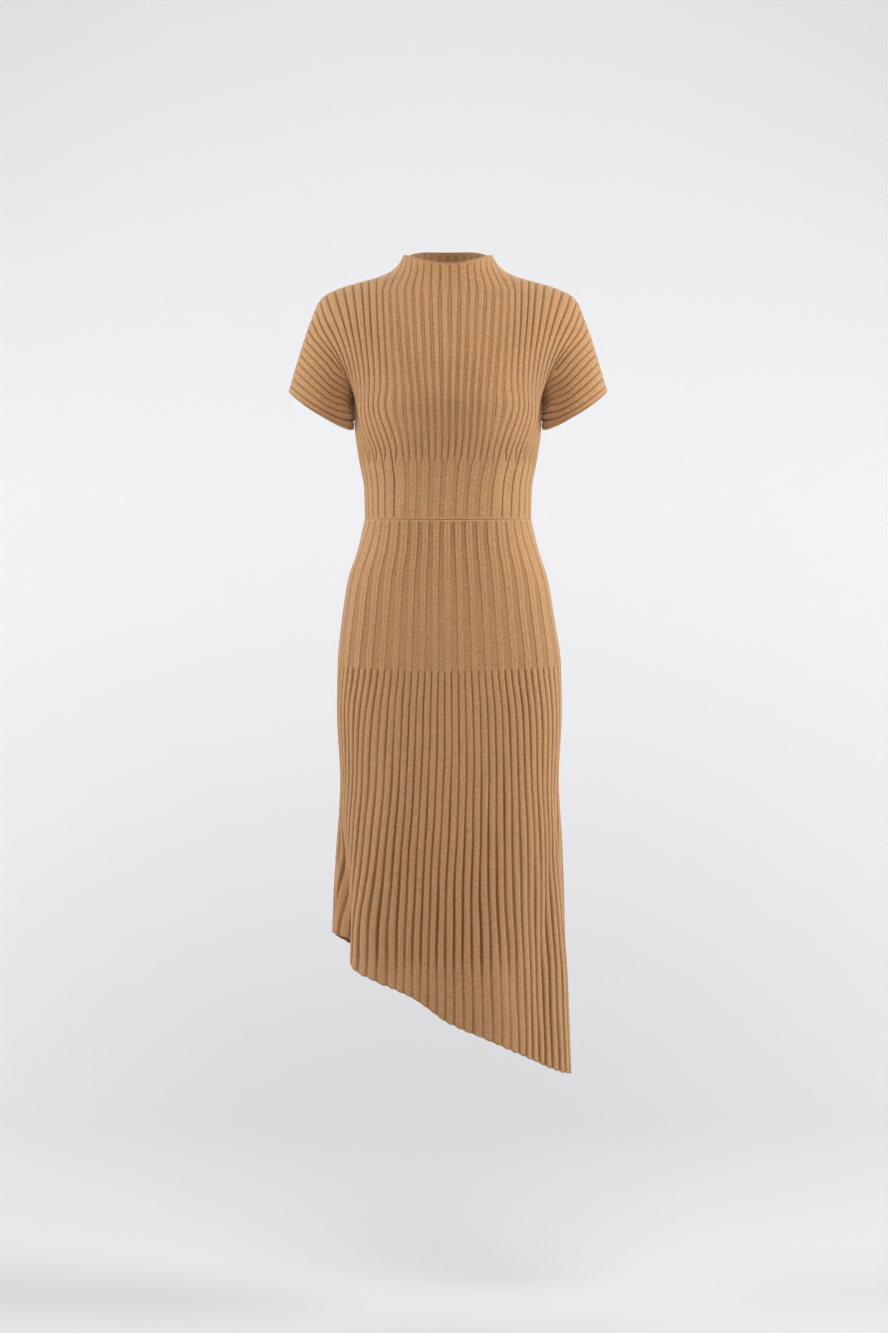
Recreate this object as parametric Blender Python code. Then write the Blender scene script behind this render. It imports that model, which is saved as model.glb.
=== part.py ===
"""A ribbed sweater dress, hollow as worn: two bodice panels with grown-on funnel collar and cap sleeves,
and two skirt panels with a slanted hem.

Metres, +Z up, front towards -Y.  The origin is the middle of the shoulders, where the wearer holds it up.
Every panel is a wall: a plain inside, and an outside whose points are lifted into ribs.
Columns of a panel are counted in ribs from the centre line; the side seam is rib 20, the cuff is rib 28.
"""
import bmesh
import bpy
import numpy as np

# ---- driving dimensions -------------------------------------------------------------------------------
wall = 0.0015                # cloth under a groove
rib_height = 0.0014          # a rib above its grooves
seam_gap = 0.0003            # air between two panels at a seam
ribs_to_neck = 7             # centre line to the top of the collar's side
ribs_to_side = 20            # centre line to the side seam
ribs_to_cuff = 28            # centre line to the cuff's edge
rib_flanks = (0.2, 0.8)      # where a rib is at full height, as shares of its width
low_rib = 0.2                # height left to every second rib of the hip zone

waist_height = -0.3345
under_bust_height = -0.2530
under_bust_blend = 0.018     # length over which every second groove of the bodice closes
armpit = (0.1365, -0.1635)   # side seam meets underarm seam, as (x, z)
underarm_end = (0.1430, -0.2060)
collar_front_height = 0.0270
collar_back_height = 0.0620
sleeve_front_depth = 0.046
sleeve_back_depth = 0.050
cuff_front_drop = 0.010      # the cuff sags between its two seams
cuff_back_drop = 0.006
armpit_fade = 0.032          # ribs flatten within this distance of the armpit

hip_line_height = -0.5480
hip_line_sag = 0.0090        # lower at the centre than at the sides
skirt_rib_growth = 0.30      # ribs stand this share higher at the hem

# silhouette of collar side, shoulder and overarm seam, and the rib that meets it there
seam_names = ("rib", "x", "z")
shoulder_seam = (
    (7.0, 0.0640, 0.0480),
    (7.5, 0.0735, 0.0335),
    (8.0, 0.0865, 0.0235),
    (9.0, 0.1045, 0.0162),
    (11.0, 0.1265, 0.0102),
    (13.0, 0.1528, 0.0028),
    (15.0, 0.1778, -0.0085),
    (16.5, 0.1888, -0.0205),
    (18.0, 0.1957, -0.0370),
    (20.0, 0.2040, -0.0590),
    (24.0, 0.2180, -0.1030),
    (28.0, 0.2310, -0.1470),
)

# ribs on the chest line below the neck, the height by which the collar has drawn them in, and the ribs'
# slant from upright at the armpit level and at the top
collar_names = ("rib", "chest", "full", "lean", "arrive")
collar_ribs = (
    (0, 0.0000, 0.0240, 0.0, 0.0),
    (1, 0.0146, 0.0240, 1.5, 0.0),
    (3, 0.0400, 0.0260, 4.0, 0.0),
    (5, 0.0636, 0.0310, 6.0, 0.0),
    (6, 0.0752, 0.0370, 7.0, 0.0),
    (7, 0.0854, 0.0480, 8.0, 0.0),
    (8, 0.0954, 0.0600, 8.5, 0.0),
    (9, 0.1045, 0.0600, 8.5, 1.0),
    (11, 0.1265, 0.0600, 9.0, 5.0),
    (13, 0.1528, 0.0600, 10.0, 12.0),
    (15, 0.1778, 0.0600, 11.0, 21.0),
    (17, 0.1888, 0.0600, 12.0, 29.0),
    (20, 0.2040, 0.0600, 13.0, 39.0),
)
last_drawn_rib = 9
collar_start = -0.0120       # height where the collar starts to draw in
neck_fullness = 2.0          # the collar's edge seen from above is a plain oval
neck_crowding = 0.75         # ribs stand closer at the front of the edge than at its sides

# bodice sections from the waist up; fullness is the exponent of the section's oval
torso_names = ("height", "front", "back", "front_fullness", "back_fullness")
torso = (
    (-0.3345, 0.0860, 0.0760, 2.30, 2.30),
    (-0.2900, 0.0880, 0.0790, 2.30, 2.30),
    (-0.2520, 0.0960, 0.0850, 2.30, 2.30),
    (-0.2044, 0.1120, 0.0950, 2.30, 2.30),
    (-0.1635, 0.1230, 0.1020, 2.30, 2.30),
    (-0.1200, 0.1190, 0.1060, 2.25, 2.25),
    (-0.0876, 0.1090, 0.1060, 2.20, 2.20),
    (-0.0440, 0.0890, 0.0980, 2.00, 2.05),
    (-0.0146, 0.0740, 0.0850, 1.68, 1.75),
    (0.0020, 0.0665, 0.0740, 1.50, 1.52),
    (0.0124, 0.0625, 0.0670, 1.57, 1.57),
    (0.0244, 0.0600, 0.0620, 1.70, 1.70),
    (0.0330, 0.0585, 0.0595, 1.85, 1.85),
    (0.0480, 0.0570, 0.0570, 2.00, 2.00),
    (0.0620, 0.0560, 0.0560, 2.00, 2.00),
)

# half width at the side seams below the armpit
side_names = ("height", "half_width")
bodice_side = (
    (-0.3345, 0.1198),
    (-0.2920, 0.1208),
    (-0.2480, 0.1285),
    (-0.2044, 0.1345),
    (-0.1800, 0.1356),
    (-0.1635, 0.1365),
)

# skirt sections from the waist down; crowding is how much closer the ribs stand at the centre than
# they would when spaced evenly, and spread how much of its neighbours' width a high rib takes
skirt_names = ("height", "left", "right", "front", "back", "fullness", "crowding", "spread")
skirt = (
    (-0.3345, 0.1198, 0.1198, 0.0860, 0.0760, 2.30, 0.090, 0.26),
    (-0.3800, 0.1302, 0.1304, 0.0890, 0.0930, 2.30, 0.115, 0.24),
    (-0.4230, 0.1443, 0.1440, 0.0920, 0.1120, 2.30, 0.115, 0.18),
    (-0.4820, 0.1534, 0.1540, 0.0950, 0.1270, 2.35, 0.125, 0.12),
    (-0.5475, 0.1596, 0.1634, 0.0970, 0.1300, 2.40, 0.120, 0.08),
    (-0.6130, 0.1606, 0.1646, 0.0990, 0.1260, 2.40, 0.060, 0.00),
    (-0.7154, 0.1558, 0.1602, 0.1040, 0.1180, 2.40, 0.010, 0.00),
    (-0.8030, 0.1600, 0.1650, 0.1100, 0.1170, 2.40, 0.000, 0.00),
    (-0.9417, 0.1640, 0.1690, 0.1180, 0.1200, 2.30, 0.000, 0.00),
    (-1.1430, 0.1720, 0.1764, 0.1240, 0.1240, 2.30, 0.000, 0.00),
)

# the slanted hem, from the short side to the long side
hem_names = ("rib", "front", "back")
hem = (
    (-20.0, -0.9340, -0.9340),
    (-17.0, -0.9500, -0.9380),
    (-15.5, -0.9600, -0.9480),
    (-14.5, -0.9670, -0.9540),
    (-13.0, -0.9810, -0.9640),
    (-10.0, -0.9945, -0.9830),
    (-4.0, -1.0215, -1.0170),
    (0.0, -1.0535, -1.0400),
    (5.0, -1.0800, -1.0700),
    (11.5, -1.1150, -1.1050),
    (16.0, -1.1345, -1.1250),
    (20.0, -1.1410, -1.1410),
)

# soft flutes of the skirt: a bump along the cloth's normal, growing from one height to another
flute_names = ("rib", "half_width", "depth", "start", "full")
front_flutes = (
    (-17.4, 2.4, -0.0300, -0.740, -0.930),
    (-7.0, 3.5, -0.0050, -0.740, -0.980),
    (5.0, 3.5, 0.0040, -0.760, -1.020),
    (12.0, 3.0, -0.0060, -0.760, -1.020),
    (16.5, 2.5, 0.0050, -0.760, -1.020),
)
back_flutes = (
    (-16.0, 3.5, 0.0090, -0.700, -0.930),
    (-9.0, 3.5, -0.0090, -0.700, -0.960),
    (-2.0, 3.5, 0.0070, -0.740, -0.980),
    (6.0, 4.0, -0.0080, -0.700, -1.000),
    (13.0, 3.0, 0.0070, -0.740, -1.020),
)

bodice_rows_below = (-0.3345, -0.2980, -0.2620, -0.2440, -0.2044)   # section heights up to the armpit
bodice_rows_above = 7        # rows from the armpit level to the collar and shoulder
hip_rows = 5                 # rows from the waist to the hip line
skirt_rows = 7               # rows from the hip line to the hem

knit_colour = (0.52, 0.33, 0.17, 1.0)


# ---- curves and tables --------------------------------------------------------------------------------
def column(table, names, name):
    """One named column of a table."""
    return np.array([row[names.index(name)] for row in table], float)


def smooth_through(keys, values, at):
    """A cubic through the keys that doesn't overshoot them."""
    order = np.argsort(keys)
    x = np.asarray(keys, float)[order]
    y = np.asarray(values, float)[order]
    step = np.diff(x)
    slope = np.diff(y) / step
    same_way = slope[1:] * slope[:-1] > 0
    total = np.where(same_way, slope[1:] + slope[:-1], 1.0)
    middle = np.where(same_way, 2 * slope[1:] * slope[:-1] / total, 0.0)
    tangent = np.concatenate([slope[:1], middle, slope[-1:]])
    at = np.clip(at, x[0], x[-1])
    k = np.clip(np.searchsorted(x, at) - 1, 0, len(step) - 1)
    s = (at - x[k]) / step[k]
    rise = y[k + 1] - y[k]
    cubic = tangent[k] * step[k] * s * (1 - s) ** 2 - tangent[k + 1] * step[k] * s ** 2 * (1 - s)
    return y[k] + rise * s * s * (3 - 2 * s) + cubic


def ease(value):
    """0 to 1 with soft ends."""
    share = np.clip(value, 0.0, 1.0)
    return share * share * (3 - 2 * share)


def along_shoulder(rib):
    """Point (x, z) of the shoulder and overarm seam where a rib meets it."""
    keys = column(shoulder_seam, seam_names, "rib")
    return (smooth_through(keys, column(shoulder_seam, seam_names, "x"), rib),
            smooth_through(keys, column(shoulder_seam, seam_names, "z"), rib))


def collar_value(rib, name):
    """One column of the collar table at a rib."""
    keys = column(collar_ribs, collar_names, "rib")
    return smooth_through(keys, column(collar_ribs, collar_names, name), rib)


def collar_pull(rib, height, top_x, top_z):
    """How far a rib is drawn in towards the neck at a height, all of it at its top."""
    pull = np.where(rib < last_drawn_rib, collar_value(rib, "chest") - top_x, 0.0)
    full = np.minimum(top_z, collar_value(rib, "full"))
    return pull * ease((height - collar_start) / (full - collar_start))


def oval_point(half_width, depth, fullness, share):
    """Point of a quarter oval, x = a sin^(2/n), y = b cos^(2/n), at a share of its length from the centre."""
    turn = np.linspace(0, np.pi / 2, 241)[:, None]
    power = 2 / fullness[None, :]
    x = half_width[None, :] * np.sin(turn) ** power
    y = depth[None, :] * np.cos(turn).clip(0) ** power
    length = np.concatenate([np.zeros((1, x.shape[1])), np.cumsum(np.hypot(np.diff(x, axis=0),
                                                                           np.diff(y, axis=0)), axis=0)])
    wanted = share * length[-1]
    low = (length[1:] < wanted).sum(axis=0).clip(0, length.shape[0] - 2)
    pick = np.arange(x.shape[1])
    part = (wanted - length[low, pick]) / (length[low + 1, pick] - length[low, pick])
    return (x[low, pick] + part * (x[low + 1, pick] - x[low, pick]),
            y[low, pick] + part * (y[low + 1, pick] - y[low, pick]))


# ---- the bodice's form --------------------------------------------------------------------------------
def torso_depth(height, side):
    """Depth at the centre and fullness of the section at a height."""
    keys = column(torso, torso_names, "height")
    depth = smooth_through(keys, column(torso, torso_names, side), height)
    return depth, smooth_through(keys, column(torso, torso_names, side + "_fullness"), height)


def body_section(rib, height, side):
    """Bodice below the armpit: ribs evenly spaced round half an oval."""
    depth, fullness = torso_depth(height, side)
    half_width = smooth_through(column(bodice_side, side_names, "height"),
                                column(bodice_side, side_names, "half_width"), height)
    return oval_point(half_width, depth, fullness, np.abs(rib) / ribs_to_side)


def front_view_path(rib, share):
    """Path (x, z) of a rib above the armpit level as seen from the front: a cubic from the chest up,
    drawn in at the collar."""
    level = np.full_like(rib, armpit[1])
    start_x, _ = body_section(rib, level, "front")
    end_x, end_z = top_edge(rib, "front")
    full_pull = collar_pull(rib, end_z, end_x, end_z)
    lean = np.radians(collar_value(rib, "lean"))
    arrive = np.radians(collar_value(rib, "arrive"))
    free_x = end_x + full_pull
    reach = 0.38 * np.hypot(free_x - start_x, end_z - level)
    x = (start_x, start_x + reach * np.sin(lean), free_x - reach * np.sin(arrive), free_x)
    z = (level, level + reach * np.cos(lean), end_z - reach * np.cos(arrive), end_z)
    weight = ((1 - share) ** 3, 3 * share * (1 - share) ** 2, 3 * share ** 2 * (1 - share), share ** 3)
    path_x = sum(w * v for w, v in zip(weight, x))
    path_z = sum(w * v for w, v in zip(weight, z))
    return path_x - collar_pull(rib, path_z, end_x, end_z), path_z


def top_edge(rib, side):
    """Top of a rib: the collar's edge up to rib 7, then the shoulder and overarm seam."""
    x, z = along_shoulder(np.maximum(rib, ribs_to_neck))
    side_x, side_z = along_shoulder(np.array(float(ribs_to_neck)))
    centre = collar_front_height if side == "front" else collar_back_height
    depth = torso_depth(np.array([side_z]), side)[0]
    share = np.minimum(rib, ribs_to_neck) / ribs_to_neck
    neck_x, _ = oval_point(np.full_like(rib, side_x), np.full_like(rib, depth[0]),
                           np.full_like(rib, neck_fullness), share - neck_crowding * share ** 3 * (1 - share))
    curve = 2 if side == "front" else 4
    neck_z = centre + (side_z - centre) * (neck_x / side_x) ** curve
    on_neck = rib < ribs_to_neck
    return np.where(on_neck, neck_x, x), np.where(on_neck, neck_z, z)


def torso_outline(height):
    """Half width of the torso above the armpit: the armhole line, then the shoulder seam."""
    steps = np.linspace(0, 1, 60)
    arm_x, arm_z = front_view_path(np.full_like(steps, float(ribs_to_side)), steps)
    seam_x, seam_z = along_shoulder(np.linspace(ribs_to_side, ribs_to_neck, 120))
    x = np.concatenate([arm_x, seam_x[1:]])
    z = np.concatenate([arm_z, seam_z[1:]])
    return np.interp(height, z, x)


def bodice_point(rib, share, side):
    """Point of the bodice above the armpit level: rib 0 to 28, share 0 at the level to 1 at the top edge."""
    on_body = np.minimum(rib, ribs_to_side)
    round_top = ease((on_body - 5) / 3)
    round_both = ease((on_body - 15) / 5)
    run = share + round_top * share * (1 - share)
    run = run + round_both * ((1 - np.cos(np.pi * share)) / 2 - run)
    x, z = front_view_path(on_body, run)
    if side == "back":
        _, front_z = top_edge(on_body, "front")
        _, back_z = top_edge(on_body, "back")
        z = z + (back_z - front_z) * run ** 2
    # the sleeve: straight across the arm from the underarm seam to the overarm seam
    out = np.clip((rib - ribs_to_side) / (ribs_to_cuff - ribs_to_side), 0, 1)
    last_x, last_z = along_shoulder(np.full_like(rib, float(ribs_to_side)))
    low_x = armpit[0] + (underarm_end[0] - armpit[0]) * out
    low_z = armpit[1] + (underarm_end[1] - armpit[1]) * out
    high_x, high_z = along_shoulder(np.maximum(rib, ribs_to_side))
    bend_x = x - (armpit[0] + (last_x - armpit[0]) * run)
    bend_z = z - (armpit[1] + (last_z - armpit[1]) * run)
    across = 2 * np.sqrt(np.clip(run * (1 - run), 0, None))
    drop = cuff_front_drop if side == "front" else cuff_back_drop
    sleeve_x = low_x + (high_x - low_x) * run + bend_x * (1 - out) ** 2
    sleeve_z = low_z + (high_z - low_z) * run + bend_z * (1 - out) ** 2 - drop * out * across
    on_sleeve = rib > ribs_to_side
    x = np.where(on_sleeve, sleeve_x, x)
    z = np.where(on_sleeve, sleeve_z, z)
    # depth: the torso's oval and the arm's oval, joined softly
    centre_depth, fullness = torso_depth(z, side)
    place = np.clip(x / torso_outline(z), 0, 1)
    chest = np.where(on_sleeve, 0.0, centre_depth * (1 - place ** fullness) ** (1 / fullness))
    arm_depth = sleeve_front_depth if side == "front" else sleeve_back_depth
    arm = arm_depth * across * ease((rib - 13) / 7)
    return x, (chest ** 5 + arm ** 5) ** 0.2, z


# ---- walls --------------------------------------------------------------------------------------------
def bodice_columns():
    """Columns of the bodice's outside: a groove on each whole rib number, a rib between two grooves."""
    edges = (0.0, *rib_flanks)
    steps = [i + edge for i in range(-ribs_to_cuff, ribs_to_cuff) for edge in edges]
    return np.array(steps + [float(ribs_to_cuff)])


def skirt_columns():
    """Columns of the skirt's outside: a rib on each whole rib number, the first on the centre line."""
    half = 0.5 - rib_flanks[0]
    edges = (-half, half, 0.5)
    steps = [i + edge for i in range(1 - ribs_to_side, ribs_to_side) for edge in edges]
    ends = [-ribs_to_side, -ribs_to_side + half, -ribs_to_side + 0.5]
    return np.array([float(v) for v in ends + steps + [ribs_to_side - half, ribs_to_side]])


def bodice_lift(rib, joined):
    """Height of the bodice's outside; every second groove fills up by the share `joined`."""
    place = np.mod(rib, 1.0)
    in_groove = (place < 0.05) | (place > 0.95)
    second = np.mod(np.round(rib), 2) == 0
    return rib_height * np.where(in_groove, np.where(second, joined, 0.0), 1.0)


def skirt_lift(rib, sunk):
    """Height of the skirt's outside; every second rib sinks by the share `sunk`."""
    in_groove = np.abs(np.mod(rib, 1.0) - 0.5) < 0.05
    second = np.mod(np.round(rib), 2) == 1
    top = np.where(second, 1 - (1 - low_rib) * sunk, 1.0)
    return rib_height * np.where(in_groove, 0.0, top)


def grid_faces(ids):
    """Two triangles in each cell of a grid of point numbers."""
    a, b, c, d = ids[:-1, :-1], ids[:-1, 1:], ids[1:, 1:], ids[1:, :-1]
    lower = np.stack([a, b, c], axis=-1).reshape(-1, 3)
    upper = np.stack([a, c, d], axis=-1).reshape(-1, 3)
    return np.concatenate([lower, upper])


def rim_faces(outer, outer_keys, inner, inner_keys):
    """A strip between two rows of points that follow the same edge at different spacings."""
    faces = []
    i, j = 0, 0
    while i < len(outer) - 1 or j < len(inner) - 1:
        step_outer = i < len(outer) - 1 and (j == len(inner) - 1 or outer_keys[i + 1] <= inner_keys[j + 1])
        if step_outer:
            faces.append((outer[i], inner[j], outer[i + 1]))
            i += 1
        else:
            faces.append((outer[i], inner[j], inner[j + 1]))
            j += 1
    return np.array(faces)


def point_normals(points, faces):
    """Outward direction at each point, from the triangles round it."""
    corner = points[faces]
    facing = np.cross(corner[:, 1] - corner[:, 0], corner[:, 2] - corner[:, 0])
    total = np.zeros_like(points)
    for k in range(3):
        np.add.at(total, faces[:, k], facing)
    return total


def unit(vectors):
    """Vectors at length 1."""
    return vectors / np.maximum(np.linalg.norm(vectors, axis=-1, keepdims=True), 1e-12)


def place_object(name, points, faces):
    """A closed mesh as an object with the knit's material."""
    mesh = bpy.data.meshes.new(name)
    used, numbers = np.unique(faces, return_inverse=True)
    mesh.from_pydata(points[used].tolist(), [], numbers.reshape(-1, 3).tolist())
    turned = bmesh.new()
    turned.from_mesh(mesh)
    bmesh.ops.recalc_face_normals(turned, faces=turned.faces)
    turned.to_mesh(mesh)
    turned.free()
    mesh.shade_smooth()
    mesh.set_sharp_from_angle(angle=np.radians(50))
    mesh.materials.append(knit)
    solid = bpy.data.objects.new(name, mesh)
    bpy.context.scene.collection.objects.link(solid)
    return solid


# ---- the bodice panels --------------------------------------------------------------------------------
def build_bodice(side):
    """Front or back bodice: a body grid below the armpit level and a wider grid above it."""
    facing = -1.0 if side == "front" else 1.0
    ribs = bodice_columns()
    shares = np.linspace(0, 1, bodice_rows_above + 1)
    rib_grid, share_grid = np.meshgrid(ribs, shares)
    x, y, z = bodice_point(np.abs(rib_grid).ravel(), share_grid.ravel(), side)
    above = np.stack([np.sign(rib_grid.ravel()) * x, facing * y, z], axis=-1).reshape(*rib_grid.shape, 3)

    on_body = np.abs(ribs) <= ribs_to_side
    body_ribs = ribs[on_body]
    rib_low, height_low = np.meshgrid(body_ribs, np.array(bodice_rows_below))
    x, y = body_section(rib_low.ravel(), height_low.ravel(), side)
    below = np.stack([np.sign(rib_low.ravel()) * x, facing * y, height_low.ravel()], axis=-1)
    below = below.reshape(*rib_low.shape, 3)

    # the seams lie in the plane y = 0, half a gap from it; the waist edge likewise
    half_gap = facing * seam_gap / 2
    above[-1, np.abs(ribs) >= ribs_to_neck, 1] = half_gap
    above[0, np.abs(ribs) >= ribs_to_side, 1] = half_gap
    below[:, [0, -1], 1] = half_gap
    below[0, :, 2] += seam_gap / 2

    count_above = above[..., 0].size
    ids_above = np.arange(count_above).reshape(above.shape[:2])
    ids_below = count_above + np.arange(below[..., 0].size).reshape(below.shape[:2])
    ids_body = np.concatenate([ids_below, ids_above[:1, on_body]])
    base = np.concatenate([above.reshape(-1, 3), below.reshape(-1, 3)])
    skin = np.concatenate([grid_faces(ids_above), grid_faces(ids_body)])
    normal = point_normals(base, skin)
    if side == "back":
        normal = -normal
    on_seam = np.abs(base[:, 1]) < seam_gap
    normal[on_seam, 1] = 0.0
    normal = unit(normal)

    all_ribs = np.concatenate([rib_grid.ravel(), rib_low.ravel()])
    from_armpit = np.linalg.norm(np.stack([np.abs(base[:, 0]) - armpit[0], base[:, 1],
                                           base[:, 2] - armpit[1]], axis=-1), axis=-1)
    joined = ease((under_bust_height + under_bust_blend / 2 - base[:, 2]) / under_bust_blend)
    height = bodice_lift(all_ribs, joined) * ease(from_armpit / armpit_fade)
    height[on_seam & (base[:, 2] < armpit[1])] = 0.0
    at_armpit = from_armpit < 1e-4 + seam_gap
    normal[at_armpit] = (0.0, 0.0, -1.0)
    depth = np.where(at_armpit, 3 * wall, wall)
    outer = base + normal * height[:, None]
    inner = base - normal * depth[:, None]
    outer[ids_below[0], 2] = base[ids_below[0], 2]
    inner[ids_below[0], 2] = base[ids_below[0], 2]
    points = np.concatenate([outer, inner])

    # the plain inside has a column at every rib of the arm and every second rib of the chest
    inner_columns = [k for k, rib in enumerate(ribs)
                     if rib == round(rib) and (abs(rib) >= 13 or rib % 2 == 0)]
    shift = len(base)
    body_start = int(np.flatnonzero(on_body)[0])
    inside_above = ids_above[:, inner_columns] + shift
    body_columns = [k for k in inner_columns if on_body[k]]
    inside_body = ids_body[:, [k - body_start for k in body_columns]] + shift
    faces = [grid_faces(ids_above), grid_faces(ids_body), grid_faces(inside_above), grid_faces(inside_body),
             rim_faces(ids_body[0], body_ribs, inside_body[0], ribs[body_columns]),
             rim_faces(ids_above[-1], ribs, inside_above[-1], ribs[inner_columns])]
    for ids in (ids_body, ids_above):
        rows = np.arange(len(ids))
        for end in (0, -1):
            faces.append(rim_faces(ids[:, end], rows, ids[:, end] + shift, rows))
    for arm in (ribs <= -ribs_to_side, ribs >= ribs_to_side):
        outer_arm = np.flatnonzero(arm)
        inner_arm = [k for k in inner_columns if arm[k]]
        faces.append(rim_faces(ids_above[0, outer_arm], ribs[outer_arm],
                               ids_above[0, inner_arm] + shift, ribs[inner_arm]))
    place_object("bodice_" + side, points, np.concatenate(faces))


# ---- the skirt panels ---------------------------------------------------------------------------------
def build_skirt(side):
    """Front or back skirt: rows from the waist to the hip line, then to the slanted hem."""
    facing = -1.0 if side == "front" else 1.0
    ribs = skirt_columns()
    reach = np.abs(ribs) / ribs_to_side
    hip = hip_line_height - hip_line_sag * (1 - reach ** 2)
    hem_line = smooth_through(column(hem, hem_names, "rib"), column(hem, hem_names, side), ribs)
    to_hip = np.linspace(0, 1, hip_rows + 1)[:, None]
    to_hem = np.linspace(0, 1, skirt_rows + 1)[1:, None]
    heights = np.concatenate([waist_height + (hip - waist_height) * to_hip, hip + (hem_line - hip) * to_hem])
    sunk = np.concatenate([np.ones(hip_rows + 1), np.zeros(skirt_rows)])[:, None] + 0 * heights
    rib_grid = ribs[None, :] + 0 * heights

    keys = column(skirt, skirt_names, "height")
    at = heights.ravel()
    left = smooth_through(keys, column(skirt, skirt_names, "left"), at)
    right = smooth_through(keys, column(skirt, skirt_names, "right"), at)
    depth = smooth_through(keys, column(skirt, skirt_names, side), at)
    fullness = smooth_through(keys, column(skirt, skirt_names, "fullness"), at)
    flat_rib = rib_grid.ravel()
    half_width = np.where(flat_rib < 0, left, right)
    crowding = smooth_through(keys, column(skirt, skirt_names, "crowding"), at)
    spread = smooth_through(keys, column(skirt, skirt_names, "spread"), at)
    share = (np.abs(flat_rib) + spread * np.sin(np.pi * np.abs(flat_rib))) / ribs_to_side
    x, y = oval_point(half_width, depth, fullness, share - crowding * (share - share ** 4))
    base = np.stack([np.sign(flat_rib) * x, facing * y, at], axis=-1)

    on_seam = np.abs(flat_rib) == ribs_to_side
    base[on_seam, 1] = facing * seam_gap / 2
    ids = np.arange(base.shape[0]).reshape(rib_grid.shape)
    base[ids[0], 2] -= seam_gap / 2
    turn = -1.0 if side == "back" else 1.0

    def outward():
        """Unit normals, level with the seam plane at the side seams."""
        found = turn * point_normals(base, grid_faces(ids[::-1]))
        found[on_seam, 1] = 0.0
        return unit(found)

    push = np.zeros(len(base))
    for rib, half, size, start, full in (front_flutes if side == "front" else back_flutes):
        away = (flat_rib - rib) / half
        push += size * np.exp(-away ** 2) * ease((start - at) / (start - full))
    near_seam = ease((ribs_to_side - np.abs(flat_rib)) / 1.5)
    push *= near_seam
    base = base + outward() * push[:, None] * np.array([1.0, 1.0, 0.0])

    normal = outward()
    normal[ids[0], 2] = 0.0
    growth = 1 + skirt_rib_growth * ease((hip_line_height - at) / 0.4)
    height = np.where(on_seam, 0.0, skirt_lift(flat_rib, sunk.ravel())) * growth
    outer = base + normal * height[:, None]
    inner = base - normal * wall
    points = np.concatenate([outer, inner])

    shift = len(base)
    inner_columns = [k for k, rib in enumerate(ribs)
                     if abs(rib) == ribs_to_side or abs(rib) % 2 == 1.5 or (abs(rib) > 13 and rib % 1 == 0.5)]
    inside = ids[:, inner_columns] + shift
    rows = np.arange(len(ids))
    faces = [grid_faces(ids), grid_faces(inside)]
    for end in (0, -1):
        faces.append(rim_faces(ids[end], ribs, inside[end], ribs[inner_columns]))
        faces.append(rim_faces(ids[:, end], rows, ids[:, end] + shift, rows))
    place_object("skirt_" + side, points, np.concatenate(faces))


for old in list(bpy.data.objects):
    bpy.data.objects.remove(old, do_unlink=True)
knit = bpy.data.materials.new("ribbed_knit")
knit.use_nodes = True
shader = knit.node_tree.nodes["Principled BSDF"]
shader.inputs["Base Color"].default_value = knit_colour
shader.inputs["Roughness"].default_value = 0.9
shader.inputs["Metallic"].default_value = 0.0
for panel_side in ("front", "back"):
    build_bodice(panel_side)
    build_skirt(panel_side)
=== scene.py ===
# Ribbed sweater dress: four knitted panels as thin shells, with their linked seams and finished edges
import bpy
import numpy as np
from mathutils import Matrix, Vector


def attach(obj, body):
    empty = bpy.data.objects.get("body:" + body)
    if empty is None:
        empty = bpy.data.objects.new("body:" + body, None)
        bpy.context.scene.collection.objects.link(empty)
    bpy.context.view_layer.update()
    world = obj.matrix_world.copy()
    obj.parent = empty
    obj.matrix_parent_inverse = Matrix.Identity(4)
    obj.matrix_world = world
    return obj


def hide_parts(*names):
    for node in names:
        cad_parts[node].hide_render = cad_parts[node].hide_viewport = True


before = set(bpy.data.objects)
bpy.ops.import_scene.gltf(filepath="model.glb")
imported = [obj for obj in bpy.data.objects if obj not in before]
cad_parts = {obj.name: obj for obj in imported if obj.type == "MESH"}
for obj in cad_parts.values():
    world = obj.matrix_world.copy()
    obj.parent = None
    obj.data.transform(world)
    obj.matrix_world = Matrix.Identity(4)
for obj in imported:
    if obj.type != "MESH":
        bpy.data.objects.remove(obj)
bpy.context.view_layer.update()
print("frame loaded:", ", ".join(sorted(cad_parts)))


def table(names, *rows):
    # a table's columns by name
    return dict(zip(names.split(), np.array(rows, float).T))


def ease(value):
    # 0 to 1 with soft ends: 3 s squared minus 2 s cubed
    share = np.clip(value, 0.0, 1.0)
    return share * share * (3 - 2 * share)


def between(value, start, end):
    # 0 at the start to 1 at the end, with soft ends
    return ease((value - start) / (end - start))


def blend(first, second, share):
    # the first at share 0, the second at share 1
    return first + (second - first) * share


def smoothThrough(keys, values, at):
    # a cubic through the keys whose slope at a key is the harmonic mean of its neighbours' slopes
    order = np.argsort(keys)
    x, y = np.asarray(keys, float)[order], np.asarray(values, float)[order]
    step = np.diff(x)
    slope = np.diff(y) / step
    sameWay = slope[1:] * slope[:-1] > 0
    total = np.where(sameWay, slope[1:] + slope[:-1], 1.0)
    middle = np.where(sameWay, 2 * slope[1:] * slope[:-1] / total, 0.0)
    tangent = np.concatenate([slope[:1], middle, slope[-1:]])
    at = np.clip(at, x[0], x[-1])
    low = np.clip(np.searchsorted(x, at) - 1, 0, len(step) - 1)
    part = (at - x[low]) / step[low]
    leaving, arriving = tangent[low] * part * (1 - part) ** 2, tangent[low + 1] * part ** 2 * (1 - part)
    return blend(y[low], y[low + 1], ease(part)) + step[low] * (leaving - arriving)


def hump(value):
    # a bell: e to the minus square
    return np.exp(-value * value)


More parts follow.
